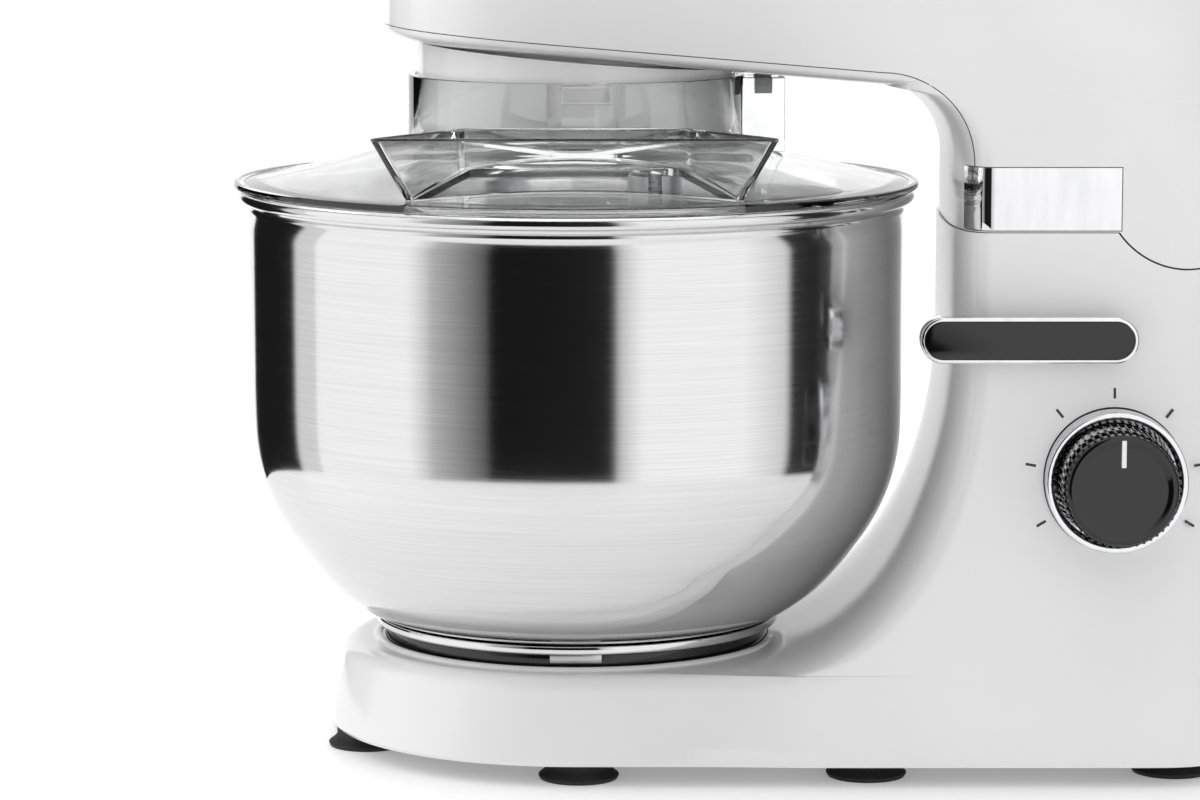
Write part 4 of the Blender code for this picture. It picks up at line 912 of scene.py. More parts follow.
    @classmethod
    def over_places(cls, item: Mesh, places: Sequence[Point],
                    material: Material) -> Mesh:
        """Put a copy of a mesh on each of several places.

        Args:
            item: The mesh, drawn at the origin.
            places: Where the copies stand.
            material: Material that the tree sets.

        Returns:
            All of them as one plain mesh.
        """
        tree, given = cls._group("pieces_at_places", [("Piece", "NodeSocketObject", None)])
        points = add_node(tree, "GeometryNodeMeshToPoints", {"Mesh": given.outputs["Geometry"]})
        source = add_node(tree, "GeometryNodeObjectInfo", {"Object": given.outputs["Piece"]})
        spread = add_node(tree, "GeometryNodeInstanceOnPoints", {
            "Points": points.outputs[0], "Instance": source.outputs["Geometry"]})
        cls._dressed(tree, spread.outputs["Instances"], given)
        spots = bpy.data.meshes.new("places")
        spots.from_pydata(list(places), [], [])
        pattern = placed("pattern", item)
        made = cls._run(tree, spots, {"Piece": pattern, "Material": material})
        bpy.data.objects.remove(pattern)
        return made


# ---------------------------------------------------------------------------------------- the machine
@dataclass(frozen=True)
class Layout:
    """Where the machine's axes stand, read from the CAD frame."""

    bowl_x: float
    pivot: Point
    knob: Point
    lever: Point
    planet_x: float

    @staticmethod
    def of(frame: dict) -> "Layout":
        """Read the joints of the frame.

        Args:
            frame: The loaded frame.

        Returns:
            The places of the axes.
        """
        spots = {joint["name"]: joint.get("pos_m") for joint in frame["joints"]}
        low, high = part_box("bowl")
        return Layout((low.x + high.x) / 2, tuple(spots["head_tilt"]), tuple(spots["speed_select"]),
                      tuple(spots["lever_lift"]), spots["tool_spin"][0])

    def x(self, along: float) -> float:
        """Place in the frame of a distance behind the bowl's axis."""
        return self.bowl_x + along


class Finishes:
    """Every material of the machine, made once."""

    def __init__(self, layout: Layout) -> None:
        """Make the materials.

        Args:
            layout: Places of the axes that turning marks run round.
        """
        # high-gloss ABS, warm neutral white, with the faint orange peel of a polished mould
        self.white = MouldedPlastic("white_gloss_abs", "#EBEBEB", "#E7E7E7", 0.13, 2.2, 0.004).material()
        # the same resin in black: reads as a dark mirror
        self.black = MouldedPlastic("black_gloss_abs", "#0C0C0D", "#080808", 0.07, 2.0, 0.003).material()
        # spark-eroded grey nylon: matt, even speckle of light on the grain
        self.grey = MouldedPlastic("grey_moulded_nylon", "#8E8E90", "#828284", 0.5, 0.6, 0.03).material()
        # natural nylon 66: creamy, waxy half gloss
        self.nylon = MouldedPlastic("natural_nylon", "#E2DDCF", "#D6D0BF", 0.42, 1.2, 0.01).material()
        # acrylic pointer paint: flat white
        self.mark = MouldedPlastic("white_mark_paint", "#EFEFEF", "#E6E6E6", 0.4, 0.5, 0.004, 1.48).material()
        self.clear = ClearPlastic("clear_polycarbonate", "#FBFCFC", 0.02).material()
        self.bowl = PolishedBowlSteel("polished_stainless_bowl", layout.bowl_x).material()
        # turned free-cutting steel: fine lathe lines and a soft streak of light
        self.steel = TurnedMetal("turned_steel", "#CFCFD0", "#A9A9AB", 0.26, 0.35, 0.004).material()
        self.steel_x = TurnedMetal("turned_steel_shafts", "#CFCFD0", "#A9A9AB", 0.26, 0.35, 0.004,
                                   Axis.X).material()
        # nickel-chrome plate on zinc: a clean dark-and-bright mirror
        self.chrome = PlatedMetal("chrome_plate", "#E4E4E6", "#D9D9DB", 0.035).material()
        # die-cast zinc chassis and gears, unpainted: dull grey grain
        self.zinc = CastMetal("die_cast_zinc", "#A9ABAD", "#8E9092", 0.45, 0.7, 0.03).material()
        # tumbled aluminium casting: soft satin with a fine peened grain
        self.aluminium = CastMetal("tumbled_aluminium", "#CDCED0", "#B9BABC", 0.34, 1.1, 0.035).material()
        # enamelled copper wire: glossy orange-brown ridges one wire wide
        self.copper = LayeredMetal("enamelled_copper_wire", "#C8733A", "#6E3416", 0.28, 1.1,
                                   Axis.Z).material()
        # stacked electrical steel sheets, blue-grey with dark oxide lines between them
        self.laminations = LayeredMetal("stacked_core_sheets", "#7E8288", "#3C3F43", 0.42, 1.0,
                                        Axis.X).material()
        self.rubber = SoftRubber("black_rubber", "#222224", "#151516").material()
        self.board = CircuitLaminate("green_circuit_laminate", "#1E5A33", "#4E8B5C").material()


@dataclass
class Plan:
    """Plan outline with superelliptic ends, measured from the bowl's axis; the column's unless told otherwise."""

    front: float
    rear: float
    half_width: float
    front_depth: float = 14 * MM
    front_power: float = 2.8
    rear_depth: float = 46 * MM
    rear_power: float = 2.6
    front_steps: int = 56
    side_steps: int = 9
    rear_steps: int = 28

    def end(self, tip: float, depth: float, power: float, steps: int) -> Profile:
        """Points of one end.

        Args:
            tip: Place of its middle.
            depth: How far its sides lie behind the middle, negative for the rear end.
            power: Power of its superellipse.
            steps: Number of steps from one side to the other.

        Returns:
            The points, from the near side to the far side.
        """
        angles = [math.pi * (i / steps - 0.5) for i in range(steps + 1)]
        return [(tip + depth * (1 - max(math.cos(a), 0) ** (2 / power)),
                 self.half_width * bulge(math.sin(a), power))
                for a in angles]

    def points(self, layout: Layout, height: float) -> list[Point]:
        """The whole outline.

        Args:
            layout: Places of the machine's axes.
            height: Height of every point.

        Returns:
            The points, from the near side round the front.
        """
        start, stop = self.front + self.front_depth, self.rear - self.rear_depth
        side = [(start + (stop - start) * i / (self.side_steps + 1), self.half_width)
                for i in range(1, self.side_steps + 1)]
        rear = self.end(self.rear, -self.rear_depth, self.rear_power, self.rear_steps)
        out = self.end(self.front, self.front_depth, self.front_power, self.front_steps)
        out += side + rear[::-1] + [(x, -y) for x, y in reversed(side)]
        return [(layout.x(x), y, height) for x, y in out]


@dataclass
class Assembly:
    """What every sub-assembly starts from."""

    layout: Layout
    finishes: Finishes

    def on_bowl(self, mesh: Mesh) -> Mesh:
        """A mesh made about the Z axis, moved to the bowl's axis."""
        return moved(mesh, Matrix.Translation((self.layout.bowl_x, 0, 0)))


@dataclass
class Housings(Assembly):
    """Sizes that the column and the head above it share."""

    stand_rear: float = 243 * MM
    column_front: float = 130 * MM
    column_top: float = 188.4 * MM
    column_half_width: float = 57 * MM
    wall: float = 3 * MM
    barrel_radius: float = 30 * MM
    catch_x: float = 150 * MM


@dataclass
class Stand(Housings):
    """Base and column with what is fixed in them."""

    base_bottom: float = 7.3 * MM
    base_top: float = 38 * MM
    base_half_width: float = 88 * MM
    base_shoulder: float = 82 * MM
    edge_inset: float = 6 * MM
    edge_drop: float = 5.5 * MM
    sweep_start: float = 60 * MM
    sweep_height: float = 110 * MM
    plate_top: float = 10.3 * MM
    seat_radius: float = 69 * MM
    seat_top: float = 43 * MM
    spigot: float = 62 * MM
    bezel_radius: float = 24.5 * MM
    lever_shaft: float = 3 * MM
    gland_z: float = 24 * MM
    gland_rear: float = 250 * MM
    foot_radius: float = 14 * MM

    def half_at(self, z: float) -> float:
        """Half width of the base at a height."""
        share = (z - self.base_bottom) / (self.base_top - self.base_bottom)
        return self.base_half_width + (self.base_shoulder - self.base_half_width) * max(share, 0) ** 1.5

    def column_half_at(self, z: float) -> float:
        """Half width of the column at a height."""
        share = max((self.column_top - z) / (self.column_top - self.base_top), 0.0)
        return self.column_half_width + (self.base_shoulder - self.column_half_width) * share ** 1.6

    def sweep_at(self, z: float) -> float:
        """Front face of the column: a quarter ellipse out of the base's top."""
        drop = min(max((self.base_top + self.sweep_height - z) / self.sweep_height, 0.0), 1.0)
        return self.sweep_start + (self.column_front - self.sweep_start) * math.sqrt(1 - drop * drop)

    def base_ring(self, z: float, inset: float, wall: float, level: float) -> list[Point]:
        """One ring of the base.

        Args:
            z: Height whose outline it takes.
            inset: How far its edge is drawn in round the front.
            wall: How far it is drawn in all round.
            level: Height at which it lies.

        Returns:
            The ring's points.
        """
        half = self.half_at(z) - wall
        ring = Plan(-half - 1.5 * MM, self.stand_rear - wall, half, half + 1.5 * MM, 2.05, 46 * MM, 2.6)
        return self.drawn_in(ring.points(self.layout, level), inset)

    @staticmethod
    def edge_share(behind: float) -> float:
        """How much of the base's edge rounding is left, behind the bowl's axis."""
        return 1 - ease(behind, 48 * MM, 78 * MM)

    def drawn_in(self, ring: Sequence[Point], inset: float) -> list[Point]:
        """Draw a ring in round the front, fading out beside the column.

        Args:
            ring: The ring's points.
            inset: How far it is drawn in at the front.

        Returns:
            The new points.
        """
        out = []
        for x, y, z in ring:
            behind = x - self.layout.bowl_x
            reach = math.hypot(min(behind, 0), y)
            shrink = 1 - inset * self.edge_share(behind) / reach if reach > inset else 1
            out.append((self.layout.x(behind * shrink if behind < 0 else behind), y * shrink, z))
        return out

    def within_edge(self, behind: float, y: float) -> float:
        """Keep a point of the top face inside the rounded edge."""
        limit = self.base_shoulder - self.edge_inset * self.edge_share(behind)
        return min(max(y, -limit), limit)

    def column_ring(self, z: float, wall: float, level: float) -> list[Point]:
        """One ring of the column.

        Args:
            z: Height whose outline it takes.
            wall: How far it is drawn in all round.
            level: Height at which it lies.

        Returns:
            The ring's points.
        """
        lean = min(max(z - self.base_top, 0) / (150 * MM), 1.0) * 2 * MM
        plan = Plan(self.sweep_at(z) + wall, self.stand_rear - wall - lean, self.column_half_at(level) - wall)
        inset = 0.0 if wall else self.edge_inset * (1 - ease(z - self.base_top, 0, 24 * MM))
        return self.drawn_in(plan.points(self.layout, level), inset)

    def form(self, wall: float, top: float, floor: float) -> Mesh:
        """Closed skin of base and column.

        Args:
            wall: How far it is drawn in, 0 for the outer skin.
            top: Height of its upper end.
            floor: Height of its lower end, used for an inner skin.

        Returns:
            The closed mesh.
        """
        rings: list[list[Point]] = []
        if wall:
            rings.append(self.base_ring(self.base_bottom, 0, wall, floor))
            for share in (0.1, 0.35, 0.7, 0.9, 1.0):
                z = self.base_bottom + (self.base_top - self.base_bottom) * share
                rings.append(self.base_ring(z, 6 * MM * max(share - 0.8, 0) * 5, wall, z - wall))
        else:
            for drop in (1.6, 1.0, 0.45, 0.12, 0.0):
                z = self.base_bottom + (1.6 - drop) * 0.9 * MM
                rings.append(self.base_ring(z, drop * MM * 0.9, 0, z))
            start = self.base_top - self.edge_drop
            for share in (0.3, 0.6, 0.85):
                z = self.base_bottom + (start - self.base_bottom) * share
                rings.append(self.base_ring(z, 0, 0, z))
            for i in range(13):
                a = math.pi / 2 * i / 12
                z = start + self.edge_drop * math.sin(a)
                rings.append(self.base_ring(z, self.edge_inset * (1 - math.cos(a)), 0, z))
            last, first = rings[-1], self.column_ring(self.base_top + 0.12 * MM, 0, self.base_top + 0.12 * MM)
            for share in (0.04, 0.5, 0.96):
                level = [tuple(a + (b - a) * share for a, b in zip(p, q)) for p, q in zip(last, first)]
                rings.append([(x, self.within_edge(x - self.layout.bowl_x, y), z) for x, y, z in level])
        fine = (0.12, 0.3, 0.6, 1, 1.6, 2.4, 3.5, 5, 7, 9.5, 12.5, 16, 20, 25, 31, 38, 46, 55, 65, 76, 88,
                100, 110,
                122, 135)
        for rise in (0.5, 2, 5, 10, 18, 30, 48, 72, 105, 130) if wall else fine:
            z = self.base_top + rise * MM
            rings.append(self.column_ring(z, wall, z - (wall if rise < 30 else 0)))
        rings.append(self.column_ring(self.column_top, wall, top))
        return loft(rings)

    def screw_places(self) -> list[tuple[float, float]]:
        """Centres of the base screws in plan, from the bowl's axis."""
        side = self.half_at(self.base_bottom) - self.wall - 9.5 * MM
        return [(-20 * MM, side - 2.5 * MM), (-20 * MM, 2.5 * MM - side), (150 * MM, side), (150 * MM, -side)]

    def housing(self) -> Mesh:
        """White housing with its seat recess, hinge hollow and openings.

        Returns:
            The closed mesh.
        """
        at, top = self.layout.x, self.base_top
        mesh = self.form(0, self.column_top, 0)
        lip = [(self.seat_radius + out * MM, top + rise * MM)
               for out, rise in ((1.5, -1.2), (1.5, 0.8), (2.6, 1.3), (4.0, 0.9), (5.5, -1.2))]
        mesh = carve(mesh, Cut.JOIN, lathe(rounded(lip, 0.9 * MM), (at(0), 0)))
        mesh = carve(mesh, Cut.AWAY, self.form(self.wall, self.column_top - self.wall,
                                               self.base_bottom - 1 * MM))
        low = self.plate_top + CLEARANCE
        mesh = carve(mesh, Cut.JOIN, *[rod((at(x), y, low), top - 2 * MM - low, 5 * MM, sides=24)
                                       for x, y in self.screw_places()])
        pivot = (self.layout.pivot[0], -90 * MM, self.layout.pivot[2])
        lever, knob = self.layout.lever, self.layout.knob
        return carve(
            mesh, Cut.AWAY,
            rod((at(0), 0, top - 10 * MM), 20 * MM, self.spigot + CLEARANCE, sides=128),
            rod((at(0), 0, top - 1.5 * MM), 20 * MM, self.seat_radius + CLEARANCE, sides=128),
            rod(pivot, 180 * MM, self.barrel_radius + 2 * CLEARANCE, Axis.Y, 120),
            box((pivot[0], -90 * MM, self.column_top - 4 * MM), (at(260 * MM), 90 * MM, 230 * MM)),
            box((at(self.catch_x - 12 * MM), -10 * MM, self.column_top - 20 * MM),
                (at(self.catch_x + 9 * MM), 10 * MM, self.column_top + 5 * MM)),
            rod((lever[0], -90 * MM, lever[2]), 60 * MM, self.lever_shaft + CLEARANCE, Axis.Y, 32),
            rod((knob[0], -90 * MM, knob[2]), 60 * MM, self.bezel_radius + CLEARANCE, Axis.Y, 96),
            rod((at(self.stand_rear - 10 * MM), 0, self.gland_z), 20 * MM, 5.3 * MM, Axis.X, 48))

    def seat(self) -> Mesh:
        """Black bayonet seat: a raised ring round a dished well with radial stiffening ribs.

        Returns:
            The closed mesh.
        """
        floor = self.base_top - 1.5 * MM + CLEARANCE
        profile = [(0, floor + 1 * MM), (self.spigot - 5 * MM, floor + 1 * MM),
                   (self.spigot - 3 * MM, self.seat_top - 1 * MM), (self.spigot - 2 * MM, self.seat_top),
                   (self.seat_radius, self.seat_top), (self.seat_radius, floor), (self.spigot, floor),
                   (self.spigot, floor - 4 * MM), (0, floor - 4 * MM)]
        body = lathe(rounded(profile, 0.6 * MM), (self.layout.bowl_x, 0))
        rib = soft_box((12 * MM, -0.9 * MM, floor + 0.6 * MM),
                       (self.spigot - 6 * MM, 0.9 * MM, floor + 2.6 * MM),
                       0.4 * MM)
        return joined([body, self.on_bowl(Repeats.round_axis(rib, 12, self.finishes.black))])

    def feet(self) -> Mesh:
        """Eight suction feet: a stem, a flared cup and a hollow underside.

        Returns:
            The closed mesh.
        """
        top = self.base_bottom - CLEARANCE
        outer = smooth_curve([(11 * MM, 4.4 * MM), (11.6 * MM, 3.4 * MM), (13.2 * MM, 2.1 * MM),
                              (self.foot_radius, 1.3 * MM), (13.5 * MM, 0.2 * MM)], 4)
        profile = [(0, top), (10.6 * MM, top), (11 * MM, top - 0.4 * MM), *outer, (13.4 * MM, 0),
                   (11.4 * MM, 0),
                   *smooth_curve([(10.6 * MM, 0.9 * MM), (8 * MM, 2.2 * MM), (4 * MM, 2.8 * MM)], 4), (0,
                       2.9 * MM)]
        boxes = [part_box(node) for node in FEET]
        places = [((low.x + high.x) / 2, (low.y + high.y) / 2, 0.0) for low, high in boxes]
        return Repeats.over_places(lathe(profile, steps=56), places, self.finishes.rubber)

    def bezel(self) -> Mesh:
        """Chrome ring round the knob, with a rounded lip and a step inside it.

        Returns:
            The closed mesh.
        """
        r, rim = self.bezel_radius, self.bezel_radius - 2.4 * MM
        profile = [(r, -58 * MM), (r, -75 * MM), (rim, -75 * MM), (rim, -68 * MM),
                   (self.lever_shaft + CLEARANCE, -68 * MM), (self.lever_shaft + CLEARANCE, -58 * MM)]
        return lathe(rounded(profile, 0.8 * MM), (self.layout.knob[0], self.layout.knob[2]), Axis.Y)

    def dial_marks(self) -> Mesh:
        """Short black strokes on the housing round the knob, one for each speed.

        Returns:
            The closed mesh.
        """
        x, _, z = self.layout.knob
        count, first, sweep, radius = 7, -120.0, 240.0, self.bezel_radius + 5 * MM
        strokes = []
        for i in range(count):
            a = math.radians(first + sweep * i / (count - 1))
            u, w = math.sin(a), math.cos(a)
            tall, wide = 1.8 * MM, 0.45 * MM
            corners = [(radius - tall, -wide), (radius - tall, wide), (radius + tall, wide),
                       (radius + tall, -wide)]
            ring = [(x + r * u + s * w, z + r * w - s * u) for r, s in corners]
            strokes.append(loft([[(px, -self.column_half_at(pz) - lift, pz) for px, pz in ring]
                                 for lift in (-0.3 * MM, 0.08 * MM)]))
        return joined(strokes)

    def gland(self) -> Mesh:
        """Rubber cord gland: a tapered sleeve with three relief grooves.

        Returns:
            The closed mesh.
        """
        rear, end = self.layout.x(self.stand_rear), self.layout.x(self.gland_rear)
        profile = [(3.6 * MM, end), (4.6 * MM, end)]
        for i in range(3):
            x = end - (1.6 + 1.5 * i) * MM
            r = (4.9 + 0.5 * i) * MM
            profile += [(r, x + 0.5 * MM), (r - 0.6 * MM, x + 0.3 * MM), (r - 0.6 * MM, x - 0.3 * MM),
                        (r, x - 0.5 * MM)]
        profile += [(6.6 * MM, rear + 0.5 * MM), (5 * MM, rear + 0.4 * MM), (5 * MM, rear - 6 * MM),
                    (3.6 * MM, rear - 6 * MM)]
        return lathe(profile, (0, self.gland_z), Axis.X, 64)

    def build(self) -> None:
        """Make and dress every piece of the stand."""
        look = self.finishes
        for name, mesh, material, nodes in (
                ("stand_housing_skin", self.housing(), look.white, ["stand_housing"]),
                ("seat_ring", self.seat(), look.black, ["bowl_seat"]),
                ("suction_feet", self.feet(), look.rubber, FEET),
                ("knob_ring", self.bezel(), look.chrome, ["knob_bezel"]),
                ("speed_marks", self.dial_marks(), look.black, []),
                ("cord_sleeve", self.gland(), look.rubber, ["cord_gland"])):
            show(name, mesh, material, "stand", nodes)


@dataclass
class Bowl(Assembly):
    """Mixing bowl and the foot ring that locks it in the seat."""

    radius: float = 116.6 * MM
    rim_height: float = 197.4 * MM
    roll: float = 2.2 * MM
    wall: float = 1.2 * MM
    foot_radius: float = 72.4 * MM
    foot_height: float = 43.4 * MM
    seat_radius: float = 69 * MM
    turns: int = 224

    def profile(self) -> Profile:
        """Closed outline of the bowl's wall with its rolled rim.

        Returns:
            The outline, from the axis outwards.
        """
        knots = [(0, 48.2), (30, 48.0), (60, 47.6), (70.5, 47.1), (74.6, 48.0), (79.5, 50.9), (87.2, 56.7),
                 (94.0, 63.8), (99.9, 71.3), (106.2, 80.4), (111.2, 90.4), (114.4, 100.5), (116.1, 112),
                 (self.radius / MM, 128)]
        outer = [(r * MM, z * MM) for r, z in smooth_curve(knots, 5)]
        outer[0] = (0.0, outer[0][1])
        upper = [(self.radius, z * MM) for z in (150, 170, 186, 191.5)]
        bead = [(self.radius + 0.5 * MM, 192.3 * MM), (self.radius + 0.5 * MM, 193.0 * MM),
                (self.radius, 193.8 * MM)]
        centre = (self.radius + self.roll - 0.4 * MM, self.rim_height)
        roll = arc(centre, self.roll, -110, 160, 22)
        inner = []
        for i, (r, z) in enumerate(outer):
            before, after = outer[max(i - 1, 0)], outer[min(i + 1, len(outer) - 1)]
            run, rise = after[0] - before[0], after[1] - before[1]
            length = math.hypot(run, rise) or 1.0
            thick = self.wall * (0.45 if z < 49 * MM and r < 72 * MM else 1.0)
            inner.append((max(r - rise / length * thick, 0.0), z + run / length * thick))
        inner = [(self.radius - self.wall, 192 * MM), *reversed(inner)]
        inner[-1] = (0.0, inner[-1][1])
        return outer + upper + bead + roll + inner

    def foot(self) -> tuple[Mesh, Mesh]:
        """Foot ring with a rolled edge, and its three bayonet lugs.

        Returns:
            The ring and the lugs.
        """
        low = self.foot_height
        ring = [(66 * MM, low), (self.foot_radius, low), (self.foot_radius, low + 3.1 * MM),
                (66 * MM, low + 3.1 * MM)]
        mesh = lathe(rounded(ring, 0.9 * MM), (0, 0), steps=160)
        lug = soft_box((self.seat_radius + CLEARANCE, -9 * MM, low - 3 * MM),
                       (self.seat_radius + 2 * MM, 9 * MM, low + 1 * MM), 0.35 * MM)
        return self.on_bowl(mesh), self.on_bowl(Repeats.round_axis(lug, 3, self.finishes.steel, 270))

    def build(self) -> None:
        """Make and dress the bowl."""
        look, slot = self.finishes, "polished_stainless"
        shell = self.on_bowl(Repeats.spun(self.profile(), self.turns, look.bowl))
        ring, lugs = self.foot()
        show("bowl_shell", shell, look.bowl, "bowl", ["bowl"], 50)
        show("bowl_foot_ring", ring, look.bowl, "bowl", ["bowl_foot"])
        show("bowl_foot_lugs", lugs, look.steel, "bowl", [])


@dataclass
class Head(Housings):
    """Shells, neck, trims and hub skirt of the tilting head."""

    nose: float = 68 * MM
    rear: float = 248 * MM
    half_width: float = 62 * MM
    top: float = 336 * MM
    seam: float = 252.7 * MM
    slope: float = 0.083
    belly: float = 5.5 * MM
    neck_arc: float = 26 * MM
    shoulder: float = 211 * MM
    trim_low: float = 189.3 * MM
    trim_high: float = 211 * MM
    trim_depth: float = 1.5 * MM
    trim_rear: float = 188 * MM
    lug_reach: float = 40 * MM
    hub_radius: float = 56.4 * MM
    hub_low: float = 219.5 * MM
    hub_wall: float = 3 * MM
    hub_neck: float = 49.5 * MM
    web_low: float = 238.5 * MM
    frame_low: float = 258 * MM
    seam_gap: float = 0.16 * MM
    sides: int = 96

    def seam_at(self, x: float) -> float:
        """Height of the parting line, x from the bowl's axis."""
        return self.seam - self.slope * x

    @staticmethod
    def cap(u: float, power: float) -> float:
        """Quarter superellipse: 0 at the tip, 1 at full size."""
        u = min(max(u, 0.0), 1.0)
        return (1 - (1 - u) ** power) ** (1 / power)

    def section(self, x: float, wall: float) -> list[Point]:
        """Cross-section of the head.

        Args:
            x: Place behind the bowl's axis.
            wall: How far it is drawn in.

        Returns:
            The section's points.
        """
        tip, tail = (x + self.nose - wall) / (66 * MM), (self.rear - wall - x) / (72 * MM)
        half = (self.half_width - wall) * self.cap(tip, 2.4) * self.cap(tail, 2.4)
        crown = self.top - 10 * MM * ((x - 70 * MM) / (180 * MM)) ** 2
        rise = (crown - wall - self.seam_at(x)) * self.cap(tip * 0.9, 2.3) * self.cap(tail, 2.3)
        low = max((self.belly - wall) * self.cap(tip * 3, 2), -2.2 * MM)
        ring = []
        for i in range(self.sides):
            a = 2 * math.pi * i / self.sides
            power, tall = (2.5, rise) if math.sin(a) >= 0 else (3.6, low)
            ring.append((self.layout.x(x), half * bulge(math.cos(a), power),
                         self.seam_at(x) + tall * bulge(math.sin(a), power)))
        return ring

    def form(self, wall: float) -> Mesh:
        """Closed skin of the head without its neck; its sections crowd together towards both ends.

        Args:
            wall: How far it is drawn in.

        Returns:
            The closed mesh.
        """
        length = self.nose + self.rear - 2 * wall
        count = 64
        places = [wall - self.nose + length * min(max(0.5 - 0.5 * math.cos(math.pi * i / count), 0.00006),
                                                  0.99994)
                  for i in range(count + 1)]
        return loft([self.section(x, wall) for x in places])

    def neck_front(self, z: float) -> float:
        """Front face of the neck with the fillet under the head."""
        lift = min(max((z - self.shoulder) / self.neck_arc, 0.0), 1.0)
        return self.column_front + 1 * MM - self.neck_arc * (1 - math.sqrt(1 - lift * lift))

    def neck(self, wall: float, floor: float = 0.0) -> Mesh:
        """Closed skin of the neck, from the column's top to the parting line.

        Args:
            wall: How far it is drawn in.
            floor: How far its lower end is raised.

        Returns:
            The closed mesh.
        """
        plan = Plan(self.column_front + 1 * MM + wall, self.stand_rear - 2 * MM - wall,
                    self.column_half_width - wall)
        rings = [plan.points(self.layout, z)
                 for z in (self.column_top + CLEARANCE + floor, 200 * MM, 206 * MM, self.shoulder)]
        front_top = self.seam_at(self.column_front)
        steps = 22
        for i in range(1, steps + 1):
            share = math.sin(math.pi / 2 * i / steps)
            grow = ease(share, 0, 1)
            front = self.neck_front(self.shoulder + share * (front_top - self.shoulder)) + wall
            rear = self.stand_rear - 2 * MM + (self.rear - CLEARANCE - self.stand_rear + 2 * MM) * grow - wall
            half = self.column_half_width + (self.half_width - CLEARANCE / 3 - self.column_half_width) * grow - wall
            plan = Plan(front, rear, half, rear_depth=(46 + 26 * grow) * MM, rear_power=2.6 - 0.2 * grow)
            rings.append([(x, y,
                           self.shoulder + share * (self.seam_at(x - self.layout.bowl_x) - self.shoulder))
                          for x, y, _ in plan.points(self.layout, 0)])
        return loft(rings)

    def barrel(self, inset: float) -> Mesh:
        """Round rear underside of the neck about the hinge.

        Args:
            inset: How far it is drawn in.

        Returns:
            The closed mesh.
        """
        half, pivot = self.column_half_width - inset, self.layout.pivot
        mesh = rod((pivot[0], -half - 5 * MM, pivot[2]), 2 * half + 10 * MM, self.barrel_radius - inset,
                   Axis.Y, 120)
        behind = pivot[0] - self.layout.bowl_x
        plan = Plan(behind - self.barrel_radius - 20 * MM, behind + self.barrel_radius - inset, half)
        return carve(mesh, Cut.KEEP, loft([plan.points(self.layout, pivot[2] + s * 50 * MM) for s in (-1,
            1)]))

    def hollow(self) -> Mesh:
        """Head, neck and barrel in one hollow skin, before it is parted.

        Returns:
            The closed mesh.
        """
        outer = carve(self.form(0), Cut.JOIN, self.neck(0), self.barrel(0))
        inner = carve(self.form(self.wall), Cut.JOIN, self.neck(self.wall, 2.4 * MM), self.barrel(self.wall))
        return carve(outer, Cut.AWAY, inner)

    def seam_region(self, grow: float) -> Mesh:
        """What belongs to the lower shell in side view, grown by a clearance.

        Args:
            grow: How far the region is grown.

        Returns:
            The closed mesh.
        """
        nose, bend, radius, at = -self.nose - 12 * MM, 105 * MM, 32.5 * MM, self.layout.x
        points = [(nose, 170 * MM), (nose, self.seam_at(nose) + grow), (bend, self.seam_at(bend) + grow)]
        points += arc((bend, self.seam_at(bend) - radius), radius + grow, 86, 0, 40)
        points.append((bend + radius + grow, 170 * MM))
        return prism([(at(x), z) for x, z in points], -90 * MM, 90 * MM)

    def trim_zone(self, side: int, grow: float, depth: float) -> Mesh:
        """Block round one side of the neck, less the neck itself.

        Args:
            side: -1 for the near side, 1 for the far one.
            grow: How far the block is grown.
            depth: How far the neck is drawn in.

        Returns:
            The closed mesh.
        """
        near, out = sorted((side * (46 * MM - grow), side * 80 * MM))
        low = (self.layout.x(self.column_front - 10 * MM), near, self.trim_low - grow)
        high = (self.layout.x(self.trim_rear) + grow, out, self.trim_high + grow)
        return carve(box(low, high), Cut.AWAY, self.neck(depth))

    def shells(self) -> tuple[Mesh, Mesh]:
        """Upper and lower shell, parted along the seam and cut for the trims, hinge, vents and hub.

        Returns:
            The upper and the lower shell.
        """
        at, skin, pivot = self.layout.x, self.hollow(), self.layout.pivot
        lower = carve(skin.copy(), Cut.KEEP, self.seam_region(-self.seam_gap))
        upper = carve(skin, Cut.AWAY, self.seam_region(self.seam_gap))
        for side in (-1, 1):
            pocket = self.trim_zone(side, CLEARANCE, self.trim_depth + CLEARANCE)
            upper = carve(upper, Cut.AWAY, pocket.copy())
            lower = carve(lower, Cut.AWAY, pocket)
        catch = box((at(self.catch_x - 4 * MM), -9 * MM, self.column_top - 5 * MM),
                    (at(self.catch_x + 4 * MM), 9 * MM, self.column_top + 8 * MM))
        hinge = box((pivot[0] - 31 * MM, -self.lug_reach, pivot[2] - 40 * MM),
                    (at(260 * MM), self.lug_reach, pivot[2] - 9 * MM))
        upper = carve(upper, Cut.AWAY, catch, hinge, *[self.vent(262 * MM + 8 * MM * i) for i in range(5)])
        hole = rod((at(0), 0, 230 * MM), self.frame_low - 230 * MM, self.hub_neck + CLEARANCE, sides=128)
        return upper, carve(lower, Cut.AWAY, hole)

    def vent(self, z: float) -> Mesh:
        """Cutter of one rear vent, a slot with round ends.

        Args:
            z: Height of the slot's lower edge.

        Returns:
            The closed mesh.
        """
        half, tall = 24 * MM, 1.5 * MM
        left = arc((-half + tall, z + tall), tall, 90, 270, 8)
        right = arc((half - tall, z + tall), tall, -90, 90, 8)
        return prism(left + right, self.layout.x(215 * MM), self.layout.x(260 * MM), Axis.X)

